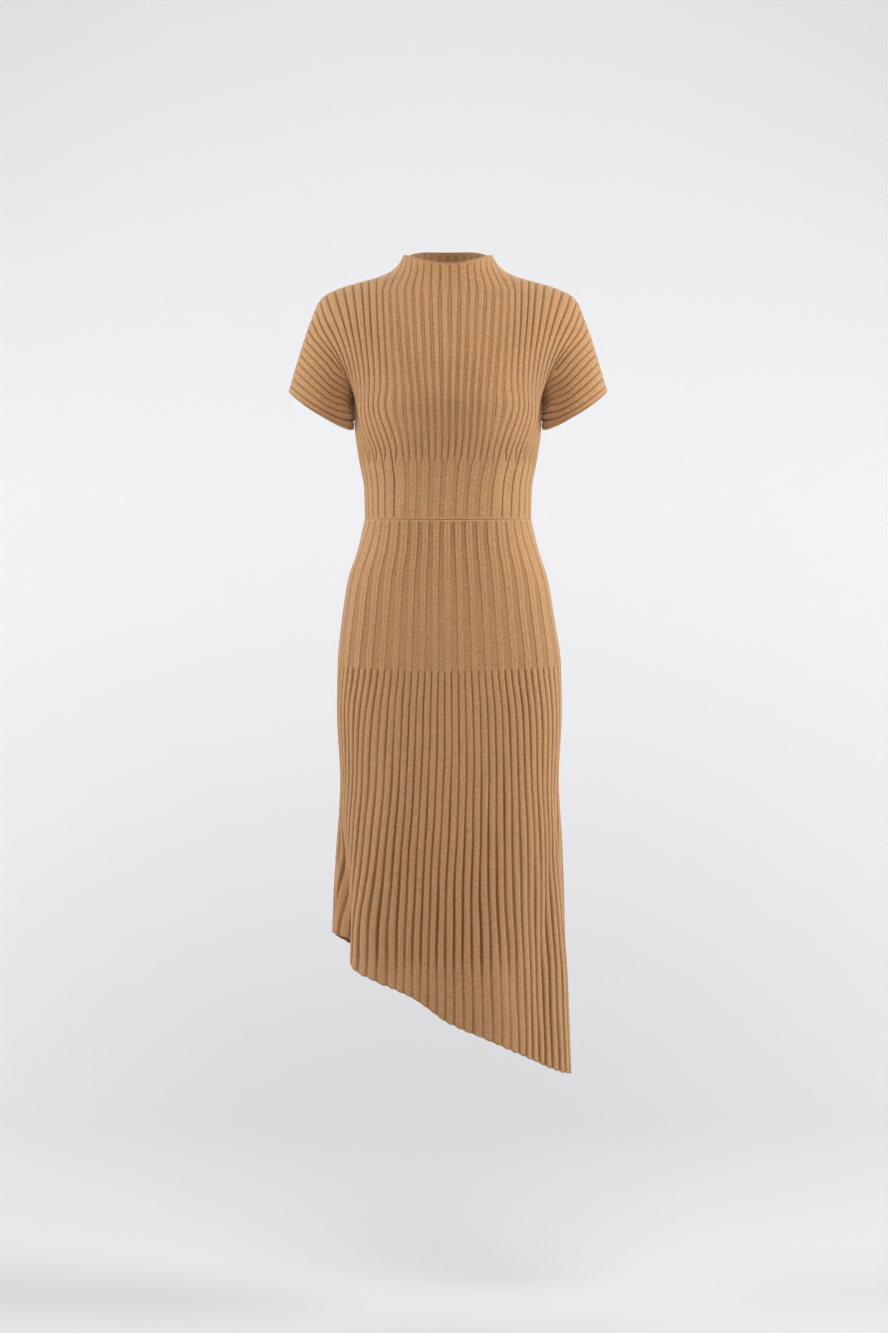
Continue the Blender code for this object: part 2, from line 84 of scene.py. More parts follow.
def drift(across, along, pace=1.0):
    # slow unevenness between -1 and 1: three sines whose wavelengths never line up
    waves = ((0.83, 21.0, 0.0), (2.17, -34.0, 1.3), (0.37, 55.0, 4.1))
    return sum(np.sin(aside * across * pace + up * along + start) for aside, up, start in waves) / 3


def unit(vectors):
    # vectors divided by their own lengths
    return vectors / np.maximum(np.linalg.norm(vectors, axis=-1, keepdims=True), 1e-12)


def flatten(*grids):
    # the values of several grids in one line
    return np.concatenate([grid.ravel() for grid in grids])


def gridFaces(ids):
    # a four-sided face in each cell of a grid of point numbers
    return np.stack([ids[:-1, :-1], ids[:-1, 1:], ids[1:, 1:], ids[1:, :-1]], axis=-1).reshape(-1, 4)


def faceCrosses(points, faces):
    # the cross product of each face's diagonals: its normal times twice its area
    corner = points[faces]
    return np.cross(corner[:, 2] - corner[:, 0], corner[:, 3] - corner[:, 1])


def panelNormals(points, faces, onSeam):
    # at each point, the sum of its faces' cross products, with no front-to-back part on a seam
    facing = faceCrosses(points, faces)
    total = np.stack([np.bincount(faces.ravel(), np.repeat(part, 4), len(points))
                      for part in facing.T], axis=1)
    total[onSeam, 1] = 0.0
    return unit(total)


def runLength(grid, axis):
    # length along a grid's rows or columns from its first line, as a running sum of steps
    step = np.linalg.norm(np.diff(grid, axis=axis), axis=-1)
    first = np.zeros_like(np.take(step, [0], axis=axis))
    return np.concatenate([first, np.cumsum(step, axis=axis)], axis=axis)


def fromEnds(grid):
    # distance along each row to its nearer end
    length = runLength(grid, 1)
    return np.minimum(length, length[:, -1:] - length)


def closeWall(outer, inner, faces):
    # the outer skin, the inner skin turned round, and a strip along every free edge
    count = len(outer)
    start, end = faces.ravel(), np.roll(faces, -1, axis=1).ravel()
    key = np.minimum(start, end).astype(np.int64) * count + np.maximum(start, end)
    _, first, uses = np.unique(key, return_index=True, return_counts=True)
    free = first[uses == 1]
    start, end = start[free], end[free]
    rim = np.stack([end, start, start + count, end + count], axis=1)
    return np.concatenate([outer, inner]), np.concatenate([faces, faces[:, ::-1] + count, rim])


def makePiece(name, points, faces, material, mapping=None, marks=None):
    # a mesh object from arrays; mapping is a UV pair a point, marks are named values a point
    mesh = bpy.data.meshes.new(name)
    faces = np.ascontiguousarray(faces, dtype=np.int32)
    mesh.vertices.add(len(points))
    mesh.vertices.foreach_set("co", np.ascontiguousarray(points, dtype=np.float32).ravel())
    mesh.loops.add(faces.size)
    mesh.loops.foreach_set("vertex_index", faces.ravel())
    mesh.polygons.add(len(faces))
    mesh.polygons.foreach_set("loop_start", np.arange(0, faces.size, faces.shape[1], dtype=np.int32))
    mesh.update(calc_edges=True)
    if mapping is not None:
        layer = mesh.uv_layers.new(name="knit")
        layer.data.foreach_set("uv", mapping[faces.ravel()].astype(np.float32).ravel())
    for mark, values in (marks or {}).items():
        spot = mesh.attributes.new(mark, "FLOAT", "POINT")
        spot.data.foreach_set("value", np.ascontiguousarray(values, dtype=np.float32))
    mesh.shade_smooth()
    mesh.materials.append(material)
    piece = bpy.data.objects.new(name, mesh)
    bpy.context.scene.collection.objects.link(piece)
    return piece


# the cloth, in metres: heights are from a panel's base surface, along its normal
cloth = {
    "ribTop": 0.0015, "grooveFloor": -0.0006, "inside": -0.0016, "seamGap": 0.0003, "gapReach": 0.002,
    # each kind of edge: how far in its rounding starts, and the least share of the thickness it leaves
    "rounding": {"edge": (0.0012, 0.22), "seam": (0.0008, 0.72), "waist": (0.0009, 0.22)},
    "ribPitch": 0.0095, "columnsPerRib": 9,
    # how far ribs stray from their lines, in ribs, and the pace of each rib's own unevenness
    "wobble": 0.045, "ownPace": 5.0,
    # a flat valley's deeper lines: outer and inner place in half widths, width in ribs
    "lineAt": (0.84, -0.86), "lineWide": 0.085,
}
facings = {"front": -1.0, "back": 1.0}  # which way along y a side of the dress faces


def evenRibs(last):
    # rib numbers of a grid's columns, from side to side
    return np.linspace(-last, last, 2 * last * cloth["columnsPerRib"] + 1)


def roundEdge(distance, kind):
    # how much of its thickness the cloth keeps near an edge: a quarter circle down to the kind's least
    reach, least = cloth["rounding"][kind]
    near = 1 - np.clip(distance / reach, 0, 1)
    return np.maximum(np.sqrt(1 - near * near), least)


def shellFromBase(name, base, normal, faces, relief, mapping, material, inDepth=0.0):
    # a panel's shell: outside lifted by its relief, inside plain or at a depth of its own,
    # both drawn to the middle of the wall at the edges
    lift, tone, keep = relief
    middle = 0.5 * (cloth["ribTop"] + cloth["inside"])
    outerBy = blend(middle, blend(cloth["grooveFloor"], cloth["ribTop"], lift), keep)
    innerBy = np.where(inDepth > 0, -inDepth, blend(middle, cloth["inside"], keep))
    points, shell = closeWall(base + normal * outerBy[:, None], base + normal * innerBy[:, None], faces)
    # the groove mark is each point's share of the groove colour: partly the purl yarn's darker look, partly
    # painted shade in the grooves
    marks = {"groove": np.tile(tone, 2), "inside": np.repeat([0.0, 1.0], len(base))}
    return makePiece(name, points, shell, material, np.tile(mapping, (2, 1)), marks)


def valley(distance, half, soft):
    # 1 inside a valley of a half width, 0 outside it, with a soft flank
    return 1 - between(distance, half - soft, half + soft)


def flatValley(out, half, own):
    # a wide flat valley, deeper along its outer edge and a little along its inner; a dip half way to the next
    # the tone follows this cut, so the deeper edge lines are painted darker too: painted shade along the
    # valley's walls
    outer, inner = (hump((out - place * half) / cloth["lineWide"]) for place in cloth["lineAt"])
    floor = np.minimum(blend(own["valleyFloor"], 1, outer + own["innerEdge"] * inner), 1)
    dip = own["dip"] * hump((1 - np.abs(out)) / own["dipWide"])
    return np.maximum(valley(np.abs(out), half, own["soft"]) * floor, dip)


# soft creases: centre (rib, height), slant from upright in degrees, half length and half
# width in metres, depth in metres (minus is a trough); seamFade is how deep from the seams they are whole
creaseColumns = "rib height slant long wide depth"
creases = {
    "ribStep": 0.0082, "seamFade": 0.014,
    "frontBodice": table(
        creaseColumns,
        (-16.2, -0.190, -24, 0.050, 0.0060, -0.0024), (16.4, -0.186, 22, 0.046, 0.0060, -0.0022),
        (-14.0, -0.205, -20, 0.040, 0.0070, 0.0016), (13.8, -0.212, 18, 0.044, 0.0070, 0.0018),
        (-9.0, -0.300, 8, 0.030, 0.0100, -0.0012), (10.5, -0.292, -6, 0.034, 0.0110, -0.0013),
        (3.0, -0.310, 3, 0.024, 0.0120, -0.0008), (0.7, 0.012, 0, 0.030, 0.0075, -0.0022),
        (-23.0, -0.100, -38, 0.030, 0.0060, -0.0016), (23.5, -0.104, 36, 0.032, 0.0060, -0.0016),
        (-6.5, 0.004, 40, 0.016, 0.0060, -0.0010), (6.8, 0.002, -42, 0.016, 0.0060, -0.0010),
        (-22.2, -0.150, 0, 0.042, 0.0210, -0.0070), (22.2, -0.151, 0, 0.042, 0.0210, -0.0070)),
    "backBodice": table(
        creaseColumns,
        (-15.5, -0.185, -20, 0.052, 0.0070, -0.0024), (15.8, -0.192, 24, 0.048, 0.0065, -0.0022),
        (-6.0, -0.270, 74, 0.034, 0.0070, -0.0022), (5.0, -0.292, -70, 0.038, 0.0080, -0.0024),
        (-1.0, -0.312, 84, 0.030, 0.0060, -0.0016), (22.8, -0.098, 38, 0.030, 0.0060, -0.0015),
        (-23.2, -0.106, -36, 0.032, 0.0060, -0.0016), (1.5, -0.020, 80, 0.030, 0.0080, -0.0014)),
    "frontSkirt": table(
        creaseColumns,
        (-14.5, -0.885, 78, 0.024, 0.0050, -0.0014), (-18.5, -0.850, 8, 0.085, 0.0062, -0.0032),
        (17.2, -0.850, -4, 0.110, 0.0070, -0.0028), (13.5, -0.900, 5, 0.090, 0.0080, -0.0022),
        (-11.0, -0.780, 4, 0.100, 0.0120, -0.0018), (7.5, -0.960, -3, 0.080, 0.0090, -0.0018),
        (-2.5, -0.900, 3, 0.090, 0.0100, -0.0014), (15.5, -0.400, -12, 0.040, 0.0100, -0.0016),
        (-15.0, -0.396, 12, 0.036, 0.0100, -0.0014), (10.0, -1.040, 2, 0.060, 0.0060, 0.0014)),
    "backSkirt": table(
        creaseColumns,
        (-8.0, -0.372, 76, 0.040, 0.0070, -0.0020), (7.0, -0.384, -78, 0.044, 0.0080, -0.0022),
        (0.5, -0.402, 84, 0.036, 0.0070, -0.0014), (-12.5, -0.820, 6, 0.100, 0.0090, -0.0026),
        (4.0, -0.880, -5, 0.110, 0.0100, -0.0024), (14.5, -0.940, 4, 0.100, 0.0080, -0.0026),
        (-5.0, -0.700, 12, 0.070, 0.0110, -0.0016), (9.5, -0.720, -10, 0.080, 0.0110, -0.0018)),
}


def creaseDepth(panel, rib, base, onSeam):
    # each crease is a long bell: e to the minus square across it, a fourth power along it; none on a seam
    depth = np.zeros(len(base))
    for centre, height, slant, long, wide, size in zip(*creases[panel].values()):
        side = (rib - centre) * creases["ribStep"]
        up = base[:, 2] - height
        turn = np.radians(slant)
        along = up * np.cos(turn) + side * np.sin(turn)
        across = side * np.cos(turn) - up * np.sin(turn)
        depth += size * hump(across / wide) * np.exp(-(along / long) ** 4)
    return np.where(onSeam, 0.0, depth * ease(np.abs(base[:, 1]) / creases["seamFade"]))[:, None]


waistHeight = -0.3345  # where bodice and skirt meet, in metres

# form of the bodice: metres, ribs counted from the centre line, x to the side, z up
bodice = {
    "ribsToNeck": 7, "ribsToSide": 20, "ribsToCuff": 28, "neckEdgeRibs": 7.2, "shoulderEdgeRibs": 6,
    "waistSag": {"front": 0.0056, "back": 0.0020}, "evenBelow": -0.262,
    "underBust": -0.2530, "armpit": (0.1365, -0.1635), "underarmEnd": (0.1388, -0.2015),
    "armpitThick": 0.0045, "armpitReach": 0.0001,  # the armpit's own point: depth of its inside, and how near
    "collarTop": {"front": 0.0306, "back": 0.0620}, "collarCurve": {"front": 2, "back": 4},
    "collarStart": -0.0120, "lastDrawnRib": 9, "neckFullness": 2.0, "neckCrowding": 0.75,
    "sleeveDepth": {"front": 0.046, "back": 0.050}, "cuffDrop": {"front": 0.010, "back": 0.006},
    # a rib's path is a Bezier with handles of this share of its length; rows crowd up, then to both ends;
    # the arm's oval grows from the first of its ribs to the second and joins the torso's by a power mean
    "handle": 0.38, "rowsUpRibs": (5, 8), "rowsEndRibs": (15, 20), "armRibs": (13, 20), "joinPower": 5,
    # collar side, shoulder and overarm seam
    "shoulder": table("rib x z",
                      (7.0, 0.0640, 0.0480), (7.5, 0.0735, 0.0335), (8.0, 0.0865, 0.0235),
                      (9.0, 0.1045, 0.0162), (11.0, 0.1265, 0.0102), (13.0, 0.1528, 0.0028),
                      (15.0, 0.1778, -0.0085), (16.5, 0.1888, -0.0205), (18.0, 0.1957, -0.0370),
                      (20.0, 0.2040, -0.0590), (24.0, 0.2180, -0.1030), (28.0, 0.2310, -0.1470)),
    # ribs on the chest before the collar draws them in, the height where it has done so whole, and their
    # slant in degrees at the armpit level and at the top
    "collar": table("rib chest full lean arrive",
                    (0, 0.0000, 0.024, 0.0, 0), (1, 0.0146, 0.024, 1.5, 0), (3, 0.0400, 0.026, 4.0, 0),
                    (5, 0.0636, 0.031, 6.0, 0), (6, 0.0752, 0.037, 7.0, 0), (7, 0.0854, 0.048, 8.0, 0),
                    (8, 0.0954, 0.060, 8.5, 0), (9, 0.1045, 0.060, 8.5, 1), (11, 0.1265, 0.060, 9.0, 5),
                    (13, 0.1528, 0.060, 10.0, 12), (15, 0.1778, 0.060, 11.0, 21),
                    (17, 0.1888, 0.060, 12.0, 29), (20, 0.2040, 0.060, 13.0, 39)),
    "torso": table("height front back frontFullness backFullness",
                   (waistHeight, 0.0860, 0.0760, 2.30, 2.30), (-0.2900, 0.0880, 0.0790, 2.30, 2.30),
                   (-0.2520, 0.0960, 0.0850, 2.30, 2.30), (-0.2044, 0.1120, 0.0950, 2.30, 2.30),
                   (-0.1635, 0.1230, 0.1020, 2.30, 2.30), (-0.1200, 0.1190, 0.1060, 2.25, 2.25),
                   (-0.0876, 0.1090, 0.1060, 2.20, 2.20), (-0.0440, 0.0890, 0.0980, 2.00, 2.05),
                   (-0.0146, 0.0740, 0.0850, 1.68, 1.75), (0.0020, 0.0665, 0.0740, 1.50, 1.52),
                   (0.0124, 0.0625, 0.0670, 1.57, 1.57), (0.0244, 0.0600, 0.0620, 1.70, 1.70),
                   (0.0330, 0.0585, 0.0595, 1.85, 1.85), (0.0480, 0.0570, 0.0570, 2.00, 2.00),
                   (0.0620, 0.0560, 0.0560, 2.00, 2.00)),
    "side": table("height halfWidth",
                  (waistHeight, 0.1198), (-0.2920, 0.1208), (-0.2480, 0.1285),
                  (-0.2044, 0.1345), (-0.1800, 0.1356), (-0.1635, 0.1365)),
    # rows of the grid: shares of the way up above the armpit level, heights below it
    "rowsAbove": np.concatenate([np.linspace(0, 0.955, 46), (0.965, 0.975, 0.983, 0.989, 0.994, 0.9975, 1)]),
    "rowsBelow": np.concatenate([waistHeight + np.array((0, 0.0003, 0.0008, 0.0016, 0.0030, 0.0042, 0.0056)),
                                 np.linspace(-0.3240, -0.2710, 12), np.linspace(-0.2680, -0.2380, 15),
                                 np.linspace(-0.2335, -0.1675, 15)]),
}


def ovalPoint(halfWidth, depth, fullness, share, steps=120):
    # quarter oval x = a sin^(2/n), y = b cos^(2/n), at a share of its own length from the centre;
    # each share gets an oval of its own, also where one fullness is given for all
    turn = np.linspace(0, np.pi / 2, steps + 1)[:, None]
    power = 2 / (fullness + 0 * share)
    oval = np.stack([halfWidth * np.sin(turn) ** power, depth * np.cos(turn).clip(0) ** power], axis=-1)
    length = runLength(oval, 0)
    wanted = share * length[-1]
    low = (length[1:] < wanted).sum(axis=0).clip(0, steps - 1)
    pick = np.arange(len(low))
    part = (wanted - length[low, pick]) / (length[low + 1, pick] - length[low, pick])
    return blend(oval[low, pick], oval[low + 1, pick], part[:, None]).T


def alongShoulder(rib):
    # point (x, z) of the shoulder and overarm seam where a rib meets it
    seam = bodice["shoulder"]
    return smoothThrough(seam["rib"], seam["x"], rib), smoothThrough(seam["rib"], seam["z"], rib)


def collarValue(rib, name):
    # a column of the collar's table at any rib
    return smoothThrough(bodice["collar"]["rib"], bodice["collar"][name], rib)


def collarPull(rib, height, topX, topZ):
    # how far the collar draws a rib in: nothing at the chest, all of it at the rib's top
    pull = np.where(rib < bodice["lastDrawnRib"], collarValue(rib, "chest") - topX, 0.0)
    return pull * between(height, bodice["collarStart"], np.minimum(topZ, collarValue(rib, "full")))


def torsoDepth(height, side):
    # depth and fullness of the torso's oval at a height
    keys = bodice["torso"]["height"]
    return (smoothThrough(keys, bodice["torso"][side], height),
            smoothThrough(keys, bodice["torso"][side + "Fullness"], height))


def bodySection(rib, height, side):
    # bodice below the armpit: ribs evenly spaced round half an oval
    depth, fullness = torsoDepth(height, side)
    halfWidth = smoothThrough(bodice["side"]["height"], bodice["side"]["halfWidth"], height)
    return ovalPoint(halfWidth, depth, fullness, np.abs(rib) / bodice["ribsToSide"])


def behindFront(rib, height):
    # where a rib runs on the back: straight behind the front's rib at the armpit, evenly spaced lower down
    whole = np.arange(bodice["ribsToSide"] + 1.0)
    pitHeight = bodice["armpit"][1]
    front, back = (bodySection(whole, np.full_like(whole, pitHeight), side)[0] for side in ("front", "back"))
    moved = np.interp(np.abs(rib), whole, np.interp(front, back, whole) - whole)
    return rib + np.sign(rib) * moved * between(height, bodice["evenBelow"], pitHeight)


def waistSag(rib, side):
    # how far the waist seam hangs below its ends: a parabola across the panel
    return bodice["waistSag"][side] * (1 - (rib / bodice["ribsToSide"]) ** 2)


def topEdge(rib, side):
    # a rib's top: the collar's oval edge up to the neck's side, then the shoulder seam
    neck = float(bodice["ribsToNeck"])
    x, z = alongShoulder(np.maximum(rib, neck))
    sideX, sideZ = alongShoulder(np.array(neck))
    depth = torsoDepth(sideZ, side)[0]
    share = np.minimum(rib, neck) / neck
    share = share - bodice["neckCrowding"] * share ** 3 * (1 - share)
    neckX, _ = ovalPoint(sideX, depth, bodice["neckFullness"], share)
    centre = bodice["collarTop"][side]
    neckZ = centre + (sideZ - centre) * (neckX / sideX) ** bodice["collarCurve"][side]
    return np.where(rib < neck, neckX, x), np.where(rib < neck, neckZ, z)


def frontViewPath(rib, share):
    # a rib's path above the armpit seen from the front: a cubic Bezier, drawn in at the collar
    level = np.full_like(rib, bodice["armpit"][1])
    startX, _ = bodySection(rib, level, "front")
    endX, endZ = topEdge(rib, "front")
    freeX = endX + collarPull(rib, endZ, endX, endZ)
    lean, arrive = np.radians(collarValue(rib, "lean")), np.radians(collarValue(rib, "arrive"))
    reach = bodice["handle"] * np.hypot(freeX - startX, endZ - level)
    x = (startX, startX + reach * np.sin(lean), freeX - reach * np.sin(arrive), freeX)
    z = (level, level + reach * np.cos(lean), endZ - reach * np.cos(arrive), endZ)
    weight = ((1 - share) ** 3, 3 * share * (1 - share) ** 2, 3 * share ** 2 * (1 - share), share ** 3)
    pathX, pathZ = (sum(part * value for part, value in zip(weight, line)) for line in (x, z))
    return pathX - collarPull(rib, pathZ, endX, endZ), pathZ


def torsoOutline(height, steps=60):
    # half width of the torso above the armpit: the armhole line, then the shoulder seam
    up = np.linspace(0, 1, steps)
    armX, armZ = frontViewPath(np.full_like(up, bodice["ribsToSide"]), up)
    seamX, seamZ = alongShoulder(np.linspace(bodice["ribsToSide"], bodice["ribsToNeck"], 2 * steps))
    return np.interp(height, np.concatenate([armZ, seamZ[1:]]), np.concatenate([armX, seamX[1:]]))


def bodicePoint(rib, share, side):
    # bodice above the armpit level: rib 0 to 28, share 0 at the level to 1 at the top edge;
    # the depth joins the torso's oval and the arm's oval by a power mean
    sideRib, cuffRib = float(bodice["ribsToSide"]), float(bodice["ribsToCuff"])
    (pitX, pitZ), (lowEndX, lowEndZ) = bodice["armpit"], bodice["underarmEnd"]
    onBody = np.minimum(rib, sideRib)
    run = share + between(onBody, *bodice["rowsUpRibs"]) * share * (1 - share)
    run = blend(run, (1 - np.cos(np.pi * share)) / 2, between(onBody, *bodice["rowsEndRibs"]))
    x, z = frontViewPath(onBody, run)
    if side == "back":
        z = z + (topEdge(onBody, "back")[1] - topEdge(onBody, "front")[1]) * run ** 2
    out = np.clip((rib - sideRib) / (cuffRib - sideRib), 0, 1)
    lastX, lastZ = alongShoulder(np.full_like(rib, sideRib))
    highX, highZ = alongShoulder(np.maximum(rib, sideRib))
    bendX, bendZ = x - blend(pitX, lastX, run), z - blend(pitZ, lastZ, run)
    across = 2 * np.sqrt(np.clip(run * (1 - run), 0, None))
    sleeveX = blend(blend(pitX, lowEndX, out), highX, run) + bendX * (1 - out) ** 2
    sleeveZ = blend(blend(pitZ, lowEndZ, out), highZ, run) + bendZ * (1 - out) ** 2
    sleeveZ = sleeveZ - bodice["cuffDrop"][side] * out * across
    onSleeve = rib > sideRib
    x, z = np.where(onSleeve, sleeveX, x), np.where(onSleeve, sleeveZ, z)
    centreDepth, fullness = torsoDepth(z, side)
    place = np.clip(x / torsoOutline(z), 0, 1)
    chest = np.where(onSleeve, 0.0, centreDepth * (1 - place ** fullness) ** (1 / fullness))
    arm = bodice["sleeveDepth"][side] * across * between(rib, *bodice["armRibs"])
    power = bodice["joinPower"]
    return x, (chest ** power + arm ** power) ** (1 / power), z


# how the knitted ribs of the bodice run, in ribs ahead of the even grid's rib of that number: they lag from
# the chest outwards and on the sleeve, are gathered under the arm, and slide sideways in the middle
bodiceLead = {
    "yokeHeight": 0.17, "lag": 1.32, "lagRibs": (4.5, 10.5), "lagHeight": -0.180, "lagTall": 0.038,
    "lagUp": 0.075, "sleeveRibs": (14.0, 19.0), "shoulderWider": 4.5, "shoulderFrom": 0.6,
    "gather": (1.9, 2.65), "gatherFrom": (9.0, 17.0), "gatherTo": (20.0, 22.0),
    "gatherRise": (-0.250, -0.1635), "gatherGone": (22.5, 29.5), "gatherUp": (0.08, 0.50),
    "tighter": (0.8, -1.8), "tightAt": 0.16,
    "slide": (0.16, -0.62), "slideHeights": (-0.215, -0.335), "slideRibs": (6.0, 21.0),
    "backShare": 0.45, "backRibs": (12.0, 19.0),
}


def bodicePattern(rib, height, side):
    # signed number of the knitted rib at a grid point: grid number + lead outwards - slide;
    # above the armpit the height is the share of the way up times the yoke's height
    own = bodiceLead
    reach = np.abs(rib)
    pitHeight = bodice["armpit"][1]
    up = np.maximum(height - pitHeight, 0.0) / own["yokeHeight"]
    low, high = own["sleeveRibs"]
    onSleeve = between(reach, low, high + own["shoulderWider"] * between(up, own["shoulderFrom"], 1.0))
    bell = hump((np.minimum(height, pitHeight) - own["lagHeight"]) / own["lagTall"])
    bell = bell * np.exp(-up / own["lagUp"])
    lag = between(reach, *own["lagRibs"]) * bell + onSleeve * (1 - bell) * (height > own["lagHeight"])
    lift = between(height, *own["gatherRise"])
    start, end = (blend(*own[name], lift) + more * ease(up / own["tightAt"])
                  for name, more in zip(("gatherFrom", "gatherTo"), own["tighter"]))
    gather = blend(*own["gather"], lift) * between(reach, start, end)
    gather = gather * (1 - between(reach, *own["gatherGone"])) * (1 - between(up, *own["gatherUp"]))
    lead = np.sign(rib) * (gather - own["lag"] * lag)
    if side == "back":
        return rib + lead * blend(own["backShare"], 1, between(reach, *own["backRibs"]))
    slide = blend(*own["slide"], between(height, *own["slideHeights"]))
    return rib + lead - slide * (1 - between(reach, *own["slideRibs"]))


# relief of the bodice: widths in ribs, heights and lengths in metres; a pair of ribs or heights is where
# something starts and where it is whole, lineBand from the under-bust line; a pair of depths is near the
# centre, then aside; the painted shade between close stitches is the yoke's, then the collar's
bodiceRibs = {
    "grooveHalf": 0.120, "collarHalf": 0.095, "narrowRibs": (18, 21), "soft": 0.080, "uneven": 0.18,
    "centreRibs": (9, 6), "collarRibs": (10, 8), "collarHeights": (-0.024, 0.002),
    "chestHeights": (-0.245, -0.195), "chestHalf": 0.22, "chestSoft": 0.06, "chestFloor": 0.36,
    "rimAt": 0.72, "rimWide": 0.060, "chestLine": 0.20, "chestLineWide": 0.05,
    "valleyHalf": 0.47, "valleyFloor": 0.42, "innerEdge": 0.30, "dip": 0.24, "dipWide": 0.16,
    "valleyRibs": (8.6, 7.0), "lineHalf": 0.120, "hookBy": 0.40, "mergeLength": 0.013,
    "lineBand": (0.003, -0.007), "waistPlain": (0.0022, 0.0036), "neckPlain": (0.0020, 0.0036),
    "armpitFade": 0.030, "crown": 0.14, "crownHalf": 0.45, "collarFlat": 0.8,
    "yokeDepth": (0.46, 0.95), "lowDepth": (0.46, 0.90), "asideRibs": (6, 14), "lowHeights": (-0.225, -0.265),
    "seamDepth": 0.40, "seamReach": 0.035,
    "yokeTone": 0.84, "chestTone": 0.68, "collarTone": 0.66, "lowTone": 0.48,
    # grooves painted paler at the centre under the bust: painted light against the shade where the cloth
    # faces down
    "underBustPaintedLight": 0.28, "underBustLightHeights": (-0.180, -0.210),
    # the collar's extra tone near its centre rib is painted shade of a shallow dent there
    "paintedStitchShade": (0.06, 0.10), "collarDentShade": 0.10, "dentShadeAt": 0.3, "dentShadeWide": 1.2,
}


def bodiceRelief(pattern, z, fromTop, fromSeam, fromWaist, fromArmpit):
    # lift and tone of the bodice: grooves on whole ribs, in pairs; below the bust a pair becomes a valley
    # near the centre, and one line with its inner groove ended farther out
    own = bodiceRibs
    line = bodice["underBust"]
    rib = pattern + cloth["wobble"] * drift(pattern, z)
    reach = np.abs(rib)
    out = (rib - (2 * np.round((rib + 0.5) / 2) - 0.5)) * np.sign(rib)
    uneven = 1 + own["uneven"] * drift(np.round(rib) * cloth["ownPace"], z)
    centre = between(reach, *own["centreRibs"])
    collarUp = between(z, *own["collarHeights"])
    onCollar = collarUp * between(reach, *own["collarRibs"])
    onChest = centre * between(z, *own["chestHeights"]) * (1 - collarUp)
    hook = between(z, line + own["mergeLength"], line) * (1 - centre)
    away = np.minimum(np.abs(out - 0.5), np.abs(out + 0.5 - own["hookBy"] * hook))

    narrow = np.maximum(onCollar, between(reach, *own["narrowRibs"]))
    half = blend(own["grooveHalf"], own["collarHalf"], narrow)
    thin = valley(away, half * uneven, own["soft"])
    rim = hump((away - own["rimAt"] * own["chestHalf"]) / own["rimWide"])
    broad = valley(away, own["chestHalf"] * uneven, own["chestSoft"]) * blend(own["chestFloor"], 1, rim)
    upper = blend(thin, broad - own["chestLine"] * hump(away / own["chestLineWide"]), onChest)
    single = valley(np.abs(out - 0.5), own["lineHalf"] * uneven, own["soft"])
    inValleys = between(reach, *own["valleyRibs"])
    lower = blend(single, flatValley(out, own["valleyHalf"] * uneven ** 0.5, own), inValleys)
    below = between(z, *(line + by for by in own["lineBand"]))
    plain = between(fromTop, *own["neckPlain"]) * between(fromWaist, *own["waistPlain"])
    cut = np.clip(blend(upper, lower, below) * plain * ease(fromArmpit / own["armpitFade"]), 0, 1)
    crown = own["crown"] * (1 - ease(away / own["crownHalf"])) * plain
    crown = crown * (1 - below) * (1 - own["collarFlat"] * onCollar)

    aside = between(reach, *own["asideRibs"])
    deepHigh, deepLow = (blend(*own[name], aside) for name in ("yokeDepth", "lowDepth"))
    deep = blend(deepHigh, deepLow, between(z, *own["lowHeights"]))
    deep = deep * blend(own["seamDepth"], 1, ease(fromSeam / own["seamReach"]))
    # the tone is the share of the groove colour: partly purl yarn, partly painted shade; it follows the cut,
    # so deeper grooves and edge lines are painted darker too
    tone = blend(own["yokeTone"], own["chestTone"], onChest)
    tone = blend(tone, own["collarTone"], onCollar)
    tone = blend(tone, own["lowTone"], below * inValleys)
    # painted light: paler grooves at the centre under the bust, where the cloth faces down into shade
    tone = tone * (1 - own["underBustPaintedLight"] * centre * (1 - below) * between(z, *own["underBustLightHeights"]))
    # painted shade between the close stitches: all over the yoke above the line, more on the collar
    yokeStitchShade, collarStitchShade = own["paintedStitchShade"]
    close = yokeStitchShade * (1 - below) + (collarStitchShade - yokeStitchShade) * onCollar
    # painted shade in the collar's shallow dent near the centre
    close = close + own["collarDentShade"] * onCollar * hump((rib - own["dentShadeAt"]) / own["dentShadeWide"])
    return np.clip((1 - cut * deep) * (1 - crown * deep), 0, 1), cut * tone * (1 - close) + close


def offSeam(depth):
    # depth from the seam plane with the seam's half gap added close to it, as a bell
    return depth + cloth["seamGap"] / 2 * hump(depth / cloth["gapReach"])


# seam and edge lines of the panels, for the trims: side and name to points and outward normals
edges = {}


